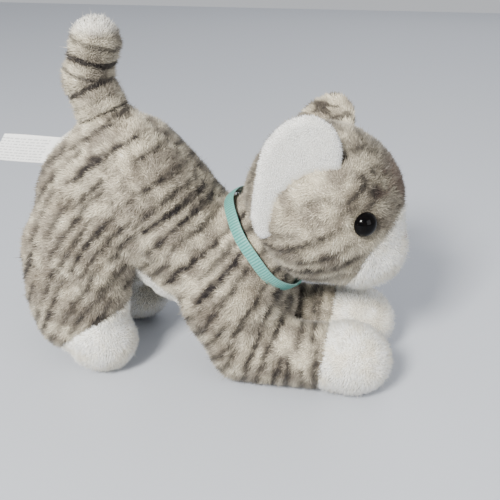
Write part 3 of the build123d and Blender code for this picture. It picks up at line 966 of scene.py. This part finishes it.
# The line between the halves of a side runs round the thigh's crease and up to the back, where neither bends
split = (z > 46) & (y > np.interp(z, [46, 100, 120], [28, 6, 2]))
split |= (on_hind < on_torso) & (y > 10) | (y > 20) & (z < 50)
free = ~(in_tail | in_hind_paw | in_front_paw | in_belly)

for side, word in SIDES:
    here = (x < 0) == (side < 0)
    hind, fore = f"hind_leg_{word}", f"front_leg_{word}"
    rear = between()
    front = between()
    for name, picked, kind, place, nodes in (
        ("side_rear", free & split, "tabby", rear, [f"body_panel_{word}", f"hind_leg_{word}_panel"]),
        ("side_front", free & ~split, "tabby", front, [f"front_leg_{word}_panel"]),
        ("hind_paw", in_hind_paw, "white", on(hind), [f"hind_paw_{word}_panel"]),
        ("front_paw", in_front_paw, "white", on(fore), [f"front_paw_{word}_panel"]),
    ):
        cover(f"{name}_{word}", BODY, picked & here, kind, place, nodes)
cover("belly", BODY, in_belly, "belly", on("torso"), ["belly_panel"])

# A lining behind the chest and the thighs' creases, so that a swinging leg opens on fur and not on a hole
LINING_INSET = 2.4
in_lining = (np.abs(x) < 14) & (y < 2) & (y > -48) & (z < 46) & (z > 17)
in_lining |= (np.abs(on_torso - on_hind) < 6) & (y > 6) & (y < 36) & (z < 60)
lining = (BODY[0] - BODY[2] * LINING_INSET, *BODY[1:])
cover("lining", lining, in_lining, "tabby", on("torso"), [], fill=0, short=shortened(0.45))

lower = in_tail & (bend_s < -6)
root_bend = between()
cover("tail_lower", BODY, lower, "tail", root_bend, ["tail_lower_panel"], comb=(0, 0.2, 1.0))
tip_bend = between()
cover("tail_upper", BODY, in_tail & ~lower, "tail", tip_bend, ["tail_upper_panel"], comb=(0, -0.2, 1.0))

# ---------------------------------------------------------------- head and neck
HEAD_FORM = make_form(head_field, (-36, -94, 36), (36, -16, 114), 0.9)
centre = HEAD_FORM[0][HEAD_FORM[1]].mean(1)
in_muzzle = (muzzle_side(centre) < 0) & (centre[:, 1] < -50)
in_forehead = (forehead_side(centre) < 0) & ~in_muzzle
right = centre[:, 0] < 0
cover("muzzle", HEAD_FORM, in_muzzle, "white", on("head"), ["muzzle_panel"], comb=(0.0, 0.4, -0.9))
for name, here, panel in (
    ("forehead", in_forehead, "forehead_panel"),
    ("head_right", right & ~in_muzzle & ~in_forehead, "head_panel_right"),
    ("head_left", ~right & ~in_muzzle & ~in_forehead, "head_panel_left"),
):
    cover(name, HEAD_FORM, here, "head", on("head"), [panel], comb=(0.0, 1.0, 0.15))
neck_form = make_form(neck_field, NECK - 26, NECK + 26, 1.6)
cover("neck", neck_form, slice(None), "tabby", on("neck"), [], fill=0, short=shortened(0.4))


# ---------------------------------------------------------------- fillings, deep inside the skins
def add_filling(body, field, low, high, node=None):
    points, quads = compact(*surface(field, low, high, 2.4, settle=2))
    mesh = new_mesh(f"{body}_filling", points, triangles(quads))
    obj = new_object(f"{body}_filling", mesh, FILLING)
    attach(obj, body)
    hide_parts(node or f"{body}_stuffing")


def torso_core(p):
    d = smax(torso_barrel(p) + 4.0, neck_s(p) + 12.0, 4.0)
    d = np.where(p[:, 1] > 15, smax(d, np.minimum(HIP[2] - 2 - p[:, 2], 20), 4.0), d)
    return smax(d, -ball(p, TAIL_ROOT, TAIL_R), 3.0)


def head_core(p):
    return smax(smin(ball(p, HEAD, HEAD_R), ball(p, MUZZLE, MUZZLE_R), 4.0), 6.0 - neck_s(p), 3.0) + 5.0


def neck_core(p):
    return ball(p, NECK, 13.5)


def tail_lower_core(p):
    return round_cone(p, TAIL_ROOT, TAIL_BEND - vec(0, 2, 6), TAIL_R - 5.5, TAIL_TIP_R - 4.5)


def tail_upper_core(p):
    return round_cone(p, TAIL_BEND + vec(0, 0.5, 4), TAIL_TIP, TAIL_TIP_R - 4.5, TAIL_TIP_R - 4.0)


def fore_core(p):
    toe = vec(ELBOW[0], FRONT_PAW_LOW[1] + FORE_R + 1, FORE_Z + 0.5)
    arm = round_cone(p, ELBOW + vec(0, -6, 0), toe, FORE_R - 6.5, FORE_R - 5.5)
    return smin(arm, ellipsoid(p, vec(-20.5, -24, 24), vec(6, 10, 11)), 3.0)


def hind_core(p):
    low = smin(ellipsoid(p, vec(-21, 48, 30), vec(8, 15, 16)), ball(p, HIND_PAW + vec(0, 0, 1), 8.5), 6.0)
    return smin(low, ellipsoid(p, vec(-21, HIP[1], HIP[2] - 6), vec(7, 15, 12)), 5.0)


add_filling("torso", torso_core, (-34, -50, 0), (34, 76, 116), "body_stuffing")
add_filling("head", head_core, (-34, -92, 38), (34, -20, 112))
add_filling("neck", neck_core, NECK - 16, NECK + 16)
add_filling("tail_lower", tail_lower_core, TAIL_ROOT - 16, TAIL_BEND + 14)
add_filling("tail_upper", tail_upper_core, TAIL_BEND - 14, TAIL_TIP + 14)
for side, word in SIDES:
    turn = vec(-side, 1, 1)
    x_low, x_high = sorted((side * 2.0, side * 40.0))
    low, high = (x_low, -92, -2), (x_high, -4, 50)
    add_filling(f"front_leg_{word}", lambda p: fore_core(p * turn), low, high)
    low, high = (x_low, 20, -2), (x_high, 76, 66)
    add_filling(f"hind_leg_{word}", lambda p: hind_core(p * turn), low, high)

# ---------------------------------------------------------------- ears
EAR_OUTLINE = np.array(
    [
        (-0.70, -0.30),
        (-0.84, 0.06),
        (-0.97, 0.24),
        (-1.05, 0.48),
        (-1.02, 0.70),
        (-0.90, 0.88),
        (-0.65, 0.98),
        (-0.34, 1.0),
        (-0.03, 0.93),
        (0.22, 0.80),
        (0.49, 0.59),
        (0.78, 0.34),
        (1.02, 0.08),
        (1.06, -0.25),
        (0.4, -0.45),
        (-0.3, -0.45),
    ]
)
EAR_HALF = 21.35
# word: (degrees back, height, how far the white face starts in front of the middle)
EARS = {"right": (46.0, 26.0, -1.1), "left": (22.0, 23.0, 0.4)}


def closed_curve(points, steps=10):
    """A smooth closed curve through the points."""
    out = []
    n = len(points)
    for i in range(n):
        a, b, c, d = (points[(i + k) % n] for k in (-1, 0, 1, 2))
        for t in np.arange(steps) / steps:
            curve = (2 * a - 5 * b + 4 * c - d) * t**2 + (3 * b - a - 3 * c + d) * t**3
            out.append(0.5 * (2 * b + (c - a) * t + curve))
    return np.array(out)


def flat_distance(at, loop):
    """Signed distance in a plane to a closed outline."""
    best, _, _ = nearest(at, np.concatenate([loop, loop[:1]]))
    inside = np.zeros(len(at), bool)
    for a, b in zip(loop, np.roll(loop, -1, axis=0)):
        crosses = (a[1] > at[:, 1]) != (b[1] > at[:, 1])
        where = a[0] + (at[:, 1] - a[1]) * (b[0] - a[0]) / (b[1] - a[1] + 1e-12)
        inside ^= crosses & (at[:, 0] < where)
    return np.where(inside, -1, 1) * best


def ear_frame(word, lean):
    """The middle of an ear's root, and the ways along the root, out of the head and out of its white face."""
    middle = pivot(f"ear_{word}_fold")
    chord = pointing(joint_axis(f"ear_{word}_fold"), 1)
    out = middle - HEAD
    out = unit(out - chord * (out @ chord))
    behind = pointing(np.cross(chord, out), 1)
    rise = out * math.cos(math.radians(lean)) + behind * math.sin(math.radians(lean))
    return middle, chord, unit(rise), pointing(np.cross(chord, rise), 1, -1)


def clear_of_head(root):
    """Under the head's skin the pile would be lost, so the ear is bare there."""
    return np.clip((ball(root, HEAD, HEAD_R) + 1.0) / 2.0, 0.05, 1)


def add_ear(word, lean, height, lift):
    middle, chord, rise, face = ear_frame(word, lean)
    loop = closed_curve(EAR_OUTLINE * vec(EAR_HALF, height))

    def parts(p):
        return (p - middle) @ chord, (p - middle) @ rise, (p - middle) @ face

    def mid(u, v):
        """The ear is cupped: its edges come forward round a hollow, and its top rolls back a little."""
        return 1.6 * (u / EAR_HALF) ** 2 - 1.4 * (np.clip(v, 0, None) / height) ** 2 - 1.2

    def field(p):
        u, v, w = parts(p)
        rim = flat_distance(np.stack([u, v], -1), loop) - 0.3
        return smax(np.abs(w - mid(u, v)) - 2.3, rim, 4.0) + 0.3 * (fbm(p / 6.0, 13, 2) - 0.5)

    spread = abs(chord) * 25 + abs(rise) * 28 + 4
    form = make_form(field, middle - spread, middle + spread, 0.8)
    u, v, w = parts(form[0][form[1]].mean(1))
    is_white = w > mid(u, v) + lift
    options = dict(fill=0, short=clear_of_head)
    ear = on(f"ear_{word}")
    cover(f"ear_{word}_inside", form, is_white, "ear_white", ear, [f"ear_{word}_inner"], **options)
    cover(f"ear_{word}_back", form, ~is_white, "ear", ear, [f"ear_{word}_outer"], comb=tuple(rise), **options)


for word, ear in EARS.items():
    add_ear(word, *ear)


# ---------------------------------------------------------------- small parts
def rigid(name, mesh, material, body, stands_in=True):
    """A stiff piece on one body, which takes the place of the CAD node of its name if stands_in is true."""
    obj = new_object(name, mesh, material)
    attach(obj, body)
    if stands_in:
        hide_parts(name)
    return obj


def turning(axis, segments):
    """An axis and a circle of unit directions square to it."""
    axis = unit(axis)
    side = unit(np.cross(axis, vec(0.2, 0.3, 1.0)))
    turn = np.arange(segments) * 2 * math.pi / segments
    return axis, np.multiply.outer(np.cos(turn), side) + np.multiply.outer(np.sin(turn), np.cross(axis, side))


def lathe(name, profile, centre, axis, segments=64):
    """A turned solid: profile is (radius, height) from the bottom middle to the top middle."""
    axis, ring = turning(axis, segments)
    inner = profile[1:-1]
    points = [centre + axis * profile[0][1]]
    for radius, height in inner:
        points.extend(centre + axis * height + ring * radius)
    points.append(centre + axis * profile[-1][1])
    faces, last = [], len(inner) - 1
    for i in range(segments):
        j = (i + 1) % segments
        faces.append((0, 1 + j, 1 + i))
        for k in range(last):
            a, b = 1 + k * segments, 1 + (k + 1) * segments
            faces += [(a + i, a + j, b + j), (a + i, b + j, b + i)]
        a = 1 + last * segments
        faces.append((a + i, a + j, len(points) - 1))
    return new_mesh(name, np.array(points), np.array(faces))


def turned_ring(name, profile, centre, axis, segments=48):
    """A turned ring: profile is a closed loop of (radius, height)."""
    axis, ring = turning(axis, segments)
    points = np.concatenate([centre + axis * height + ring * radius for radius, height in profile])
    i, j = np.meshgrid(np.arange(len(profile)), np.arange(segments), indexing="ij")
    a, b = i * segments, (i + 1) % len(profile) * segments
    k = (j + 1) % segments
    return new_mesh(name, points, np.stack([a + j, a + k, b + k, b + j], -1).reshape(-1, 4))


def tubes(name, paths, radius, segments=8):
    """Round-ended threads along the paths, as one mesh."""
    points, faces = [], []
    for path in paths:
        path = np.array(path, float)
        along = unit(np.gradient(path, axis=0))
        side = unit(np.cross(along, vec(0.1, 0.2, 1.0)))
        other = np.cross(side, along)
        start, count = len(points), len(path)
        for i in range(count):
            end = min(i, count - 1 - i)
            r = radius * (0.55 if end == 0 else 0.92 if end == 1 else 1.0)
            for k in range(segments):
                a = 2 * math.pi * k / segments
                points.append(path[i] + side[i] * math.cos(a) * r + other[i] * math.sin(a) * r)
        for i in range(count - 1):
            for k in range(segments):
                a, b = start + i * segments + k, start + i * segments + (k + 1) % segments
                faces += [(a, b, b + segments), (a, b + segments, a + segments)]
        for end, order in ((0, -1), (count - 1, 1)):
            centre_index = len(points)
            points.append(path[end] + along[end] * radius * 0.5 * (1 if order > 0 else -1))
            for k in range(segments):
                a, b = start + end * segments + k, start + end * segments + (k + 1) % segments
                faces.append((a, b, centre_index) if order > 0 else (b, a, centre_index))
    return new_mesh(name, np.array(points), np.array(faces))


def on_face(x, z, lift=0.0):
    """The point of the face straight behind (x, z), lifted off it."""
    x, z = np.atleast_1d(np.array(x, float)), np.atleast_1d(np.array(z, float))
    low, high = np.full(len(x), -100.0), np.full(len(x), MUZZLE[1])
    for _ in range(30):
        middle = (low + high) / 2
        out = head_field(np.stack([x, middle, z], -1)) > 0
        low, high = np.where(out, middle, low), np.where(out, high, middle)
    p = np.stack([x, high, z], -1)
    return p + unit(gradient(head_field, p)) * lift


def eye_plastic():
    """Black plastic with a faint brown depth and a slight haze on its polish."""
    tones = [(0.3, srgb(2, 2, 3)), (0.8, srgb(9, 6, 5))]
    gloss = dict(Specular_IOR_Level=0.08, Coat_Weight=0.02, Coat_Roughness=0.03)
    cloud = dict(in_Scale=700.0, in_Detail=4.0)
    material, tree, shader, haze = patterned("eye_plastic", "Noise", cloud, tones, 0.05, **gloss)
    tree.links.new(ramp(tree, haze, [(0.3, grey(0.035)), (0.75, grey(0.10))]), shader.inputs["Roughness"])
    return material


def thread_material(name, dark, light, scale):
    """Fine twisted threads with a dull sheen."""
    twist = dict(in_Scale=scale, in_Distortion=2.0, in_Detail=1.0, bands_direction="DIAGONAL")
    # The twist's pattern drives both the bump and the colour: darker in its grooves as painted shade, lighter
    # on its ridges as painted highlight.
    stops = [(0.1, dark), (0.9, light)]
    material, tree, shader, height = patterned(name, "Wave", twist, stops, 0.55, Sheen_Weight=0.3)
    bump = node(tree, "ShaderNodeBump", in_Strength=0.5, in_Distance=0.0001)
    tree.links.new(height, bump.inputs["Height"])
    tree.links.new(bump.outputs["Normal"], shader.inputs["Normal"])
    return material


EYE_R, EYE_RISE = 4.8, 3.2
DOME_R = (EYE_R**2 + EYE_RISE**2) / (2 * EYE_RISE)
SHANK = [(0, -7.8), (1.1, -7.6), (1.3, -7.2), (1.3, -1.5)]
EYE_BACK = [(EYE_R * 0.80, -1.2), (EYE_R * 0.95, -0.9), (EYE_R, -0.4), (EYE_R, 0.0)]
DOME = [
    (DOME_R * math.sin(t), EYE_RISE - DOME_R * (1 - math.cos(t)))
    for t in np.linspace(math.asin(EYE_R / DOME_R), 0, 14)[1:]
]
# Seen from the side, a low domed washer with a collar that grips the shank
WASHER_PROFILE = [(1.5, -6.6), (2.4, -6.6), (2.6, -5.8), (5.0, -5.3), (5.2, -5.0), (5.0, -4.7), (1.5, -4.9)]
WASHER_TONES = [(0.3, srgb(216, 216, 210)), (0.7, srgb(236, 236, 232))]
EYE_PLASTIC = eye_plastic()
WASHER = patterned("washer_plastic", "Noise", dict(in_Scale=500.0), WASHER_TONES, 0.5)[0]
for side, word in SIDES:
    aim = EYE_AIM * vec(-side, 1, 1)
    seat = HEAD + aim * (HEAD_R + 0.1)
    eye, washer = f"eye_{word}", f"eye_washer_{word}"
    rigid(eye, lathe(eye, SHANK + EYE_BACK + DOME, seat, aim), EYE_PLASTIC, "head")
    rigid(washer, turned_ring(washer, WASHER_PROFILE, seat, aim), WASHER, "head")

# Nose: upright satin stitches side by side, over a low pad, in a rounded triangle
NOSE_Z, LIP_Z = 66.0, 59.6
THREAD = thread_material("nose_thread", srgb(112, 74, 66), srgb(158, 112, 100), 2600.0)
stitches = []
for x in np.arange(-2.6, 2.61, 0.42):
    t = abs(x) / 2.75
    top, low = NOSE_Z + 1.9 - 0.7 * t**3, NOSE_Z - 2.1 + 1.9 * t**1.2
    z = np.linspace(low, top, 9)
    arch = np.sin(np.linspace(0, math.pi, 9)) ** 0.6
    stitches.append(on_face(np.full(9, x), z, 0.4) + np.outer(arch, vec(0, -0.75, 0.1)) * (1 - 0.5 * t**2))
rigid("nose", tubes("nose", stitches, 0.26), THREAD, "head")

mouth = [on_face(np.zeros(9), np.linspace(NOSE_Z - 2.0, LIP_Z, 9), 0.55)]
t = np.linspace(0, 1, 12)
for side in (-1, 1):
    mouth.append(on_face(side * 4.6 * t**0.9, LIP_Z - 3.0 * t + 1.0 * t**2, 0.55))
rigid("mouth_stitch", tubes("mouth_stitch", mouth, 0.33), THREAD, "head")

# ---------------------------------------------------------------- ribbon and label
# The ribbon's teal, used darker in the rib troughs as painted shade, and the lighter teal of its painted
# highlights.
TEAL, TEAL_HIGHLIGHT = srgb(50, 118, 112), srgb(104, 168, 158)
RIBBON_S, RIBBON_R, RIBBON_HALF, RIBBON_T = -4.4, 23.9, 2.4, 0.35
ACROSS = 13  # points across each face of the ribbon
NECK_SIDE = vec(1, 0, 0)
NECK_DOWN = pointing(np.cross(NECK_AXIS, NECK_SIDE), 2, -1)
SATIN_TONES = [(0.3, grey(0.86)), (0.7, grey(1.1))]
SATIN_GLOSS = dict(painted=True, Sheen_Weight=0.15, Anisotropic=0.6)
RIBBON = patterned("ribbon_satin", "Noise", dict(in_Scale=1800.0), SATIN_TONES, 0.34, **SATIN_GLOSS)[0]


def round_neck(angle):
    """The way out from the neck's axis, at an angle from the throat."""
    return NECK_SIDE * math.sin(angle) + NECK_DOWN * math.cos(angle)


def ribbon_strip(name, start, stop, count, lift, half):
    """A strip of ribbon round the neck. Angles run from the throat; each rib is a small ridge across it."""
    angles = np.linspace(start, stop, count)
    across = np.concatenate([np.linspace(-1, 1, ACROSS), np.linspace(1, -1, ACROSS)])
    outer = np.concatenate([np.ones(ACROSS), np.zeros(ACROSS)])
    bead = 0.12 * np.clip((np.abs(across) - 0.8) / 0.2, 0, 1)
    on_bead = (np.abs(across) > 0.86)[:, None]
    pts, tint = [], []
    for i, a in enumerate(angles):
        rib = math.cos(i * math.pi / 2)
        sway = 0.35 * math.sin(3 * a + 1.0) + 0.2 * math.sin(7 * a)
        ridge = RIBBON_T + bead + 0.10 * rib * (1 - bead * 8)
        radius = RIBBON_R + lift + outer * ridge - 0.35 * across**2
        place = RIBBON_S + across * half + sway
        pts.append(NECK + np.outer(radius, round_neck(a)) + np.outer(place, NECK_AXIS))
        # Rib crests and beaded edges are painted lighter, as painted highlight, and rib troughs darker, as
        # painted shade.
        tint.append(np.where(on_bead, TEAL_HIGHLIGHT * 0.9, TEAL + (TEAL_HIGHLIGHT - TEAL) * (0.5 + 0.5 * rib)))
    ring = 2 * ACROSS
    closed = abs(stop - start) > 6.2
    i = np.arange(count - (0 if closed else 1))[:, None]
    j = (i + 1) % count
    k = np.arange(ring)[None, :]
    m = (k + 1) % ring
    faces = np.stack([i * ring + k, j * ring + k, j * ring + m, i * ring + m], -1).reshape(-1, 4)
    if not closed:
        caps = np.array([[k, k + 1, ring - 2 - k, ring - 1 - k] for k in range(ACROSS - 1)])
        faces = np.concatenate([faces, caps, caps[:, ::-1] + (count - 1) * ring])
    mesh = new_mesh(name, np.concatenate(pts), faces)
    paint(mesh, np.concatenate(tint))
    return outward(mesh)


def outward(mesh):
    """The mesh with its faces all turned outwards."""
    work = bmesh.new()
    work.from_mesh(mesh)
    bmesh.ops.recalc_face_normals(work, faces=work.faces)
    work.to_mesh(mesh)
    work.free()
    return mesh


RIB_COUNT = 4 * 122
full_turn = 2 * math.pi * (RIB_COUNT - 1) / RIB_COUNT
for name, *shape in (
    ("ribbon_collar", 0, full_turn, RIB_COUNT, 0.0, RIBBON_HALF),
    ("ribbon_tack", -0.16, 0.16, 26, 0.55, RIBBON_HALF - 0.1),
):
    rigid(name, ribbon_strip(name, *shape), RIBBON, "collar")
ties = []
for a0, a1 in ((-0.10, -0.04), (-0.04, -0.10), (0.04, 0.10), (0.10, 0.04)):
    line = []
    for t in np.linspace(0, 1, 7):
        out = round_neck(a0 + (a1 - a0) * t) * (RIBBON_R + 0.95 + 0.25 * math.sin(math.pi * t))
        line.append(NECK + out + NECK_AXIS * (RIBBON_S - 0.3 + 1.9 * (t - 0.5)))
    ties.append(line)
TIE = thread_material("tie_thread", TEAL * 0.7, TEAL_HIGHLIGHT, 2200.0)
stitching = tubes("ribbon_tie_stitches", ties, 0.16)
rigid("ribbon_tie_stitches", stitching, TIE, "collar", stands_in=False)

LABEL_ROOT, LABEL_UP = pivot("label_flap"), joint_axis("label_flap")
LABEL_HALF = 7.25
LABEL_LONG = LABEL_HIGH[1] - LABEL_ROOT[1] - 0.4
TAPE_ROWS, TAPE_COLUMNS, TAPE_T = 150, 29, 0.22
TAPE, INK, TAPE_BACK = srgb(240, 240, 238), srgb(120, 120, 124), srgb(236, 236, 234)
WEAVE_TONES = [(0.0, grey(0.93)), (1.0, grey(1.0))]


def label_tape():
    """One tape, out from the seam, round the fold and back: its points, and how far out each row is."""
    run = np.linspace(0, 1, TAPE_ROWS)
    y = np.where(run < 0.5, run * 2, 2 - run * 2)
    gap = 0.10 + 0.42 * np.sin(np.pi * np.clip(y, 0, 1) ** 1.4)
    gap = gap * np.sqrt(np.clip(1 - y, 0, 0.05) / 0.05)
    side = np.where(np.arange(TAPE_ROWS) < TAPE_ROWS // 2, 1, -1) * (gap + 0.02)
    bow = 0.9 * np.sin(y * 2.2) * y
    v = np.linspace(-1, 1, TAPE_COLUMNS)
    rows = []
    for i in range(TAPE_ROWS):
        sideways = side[i] + bow[i] * 0.6 + 0.25 * y[i] * v**2
        along = LABEL_ROOT + vec(0, 1, 0) * y[i] * LABEL_LONG
        rows.append(along + np.outer(v * LABEL_HALF, LABEL_UP) + np.outer(sideways, vec(1, 0, 0)))
    return np.array(rows), y


def print_bars(y):
    """The tape's colours, with rows of bars along it that stand for small print."""
    colour = np.tile(TAPE, (TAPE_ROWS, TAPE_COLUMNS, 1))
    rng = np.random.default_rng(77)
    margin = 12
    for column in range(3, TAPE_COLUMNS - 3, 3):
        at = margin
        while at < TAPE_ROWS - margin:
            span = int(rng.integers(2, 7))
            if y[min(at + span, TAPE_ROWS - 1)] > 0.12 and y[at] > 0.12:
                bar = colour[at : min(at + span, TAPE_ROWS - margin), column]
                bar[:] = bar * 0.35 + INK * 0.65
            at += span + int(rng.integers(1, 3))
    return colour.reshape(-1, 3)


def label_mesh():
    tape, y = label_tape()
    index = np.arange(TAPE_ROWS * TAPE_COLUMNS).reshape(TAPE_ROWS, TAPE_COLUMNS)
    quads = np.stack([index[:-1, :-1], index[1:, :-1], index[1:, 1:], index[:-1, 1:]], -1).reshape(-1, 4)
    normals = unit(np.cross(np.gradient(tape, axis=0), np.gradient(tape, axis=1))).reshape(-1, 3)
    shell, faces = thicken(tape.reshape(-1, 3) + normals * TAPE_T / 2, quads, normals, TAPE_T)
    mesh = new_mesh("care_label", shell, faces)
    paint(mesh, np.concatenate([print_bars(y), np.tile(TAPE_BACK, (index.size, 1))]))
    return outward(mesh)


weave = patterned(
    "label_satin", "Checker", dict(in_Scale=4200.0), WEAVE_TONES, 0.42, painted=True, Sheen_Weight=0.2
)[0]
label = rigid("care_label", label_mesh(), weave, "label")

# ---------------------------------------------------------------- camera, light and floor
LOOK_AT, CAMERA_REACH = vec(1.5, -23.0, 52.0), 300.0
YAW, RISE = math.radians(-78.0), math.radians(25.0)
back = vec(math.sin(YAW) * math.cos(RISE), -math.cos(YAW) * math.cos(RISE), math.sin(RISE))
camera = bpy.data.objects.new("camera", bpy.data.cameras.new("camera"))
camera.data.sensor_width = 36.0
camera.data.lens = 49.7
camera.data.clip_start = 0.01
bpy.context.scene.collection.objects.link(camera)
camera.location = (LOOK_AT + back * CAMERA_REACH) * MM
camera.rotation_euler = (math.pi / 2 - RISE, 0, YAW)
bpy.context.scene.camera = camera


def add_lamp(name, place, size, power, colour):
    """A square lamp at a place in metres, aimed at the toy."""
    lamp = bpy.data.lights.new(name, "AREA")
    lamp.size, lamp.energy, lamp.color = size, power, colour
    obj = bpy.data.objects.new(name, lamp)
    bpy.context.scene.collection.objects.link(obj)
    obj.location = place
    aim = vec(0, 0, 0.05) - place
    obj.rotation_euler = (math.acos(-aim[2] / np.linalg.norm(aim)), 0, math.atan2(-aim[0], aim[1]))


add_lamp("key", vec(-0.92, 0.26, 0.78), 0.26, 34.0, (1.0, 0.98, 0.92))
add_lamp("fill", vec(-0.75, -1.1, 0.60), 0.8, 8.0, (0.97, 0.98, 1.0))
add_lamp("far_fill", vec(1.1, -0.3, 0.9), 1.0, 4.0, (0.97, 0.98, 1.0))
world = bpy.data.worlds.new("studio")
world.use_nodes = True
world.node_tree.nodes["Background"].inputs["Color"].default_value = (0.84, 0.86, 0.90, 1)
world.node_tree.nodes["Background"].inputs["Strength"].default_value = 0.70
bpy.context.scene.world = world

FLOOR_HALF = 1500
floor_points = np.array([(x, y, 0) for x, y in ((-1, -1), (1, -1), (1, 1), (-1, 1))], float) * FLOOR_HALF
floor_mesh = new_mesh("floor", floor_points, np.array([[0, 1, 2, 3]]), smooth=False)
floor_material = new_material("floor", 0.45, Base_Color=(*srgb(186, 190, 198), 1))[0]
new_object("floor", floor_mesh, floor_material)
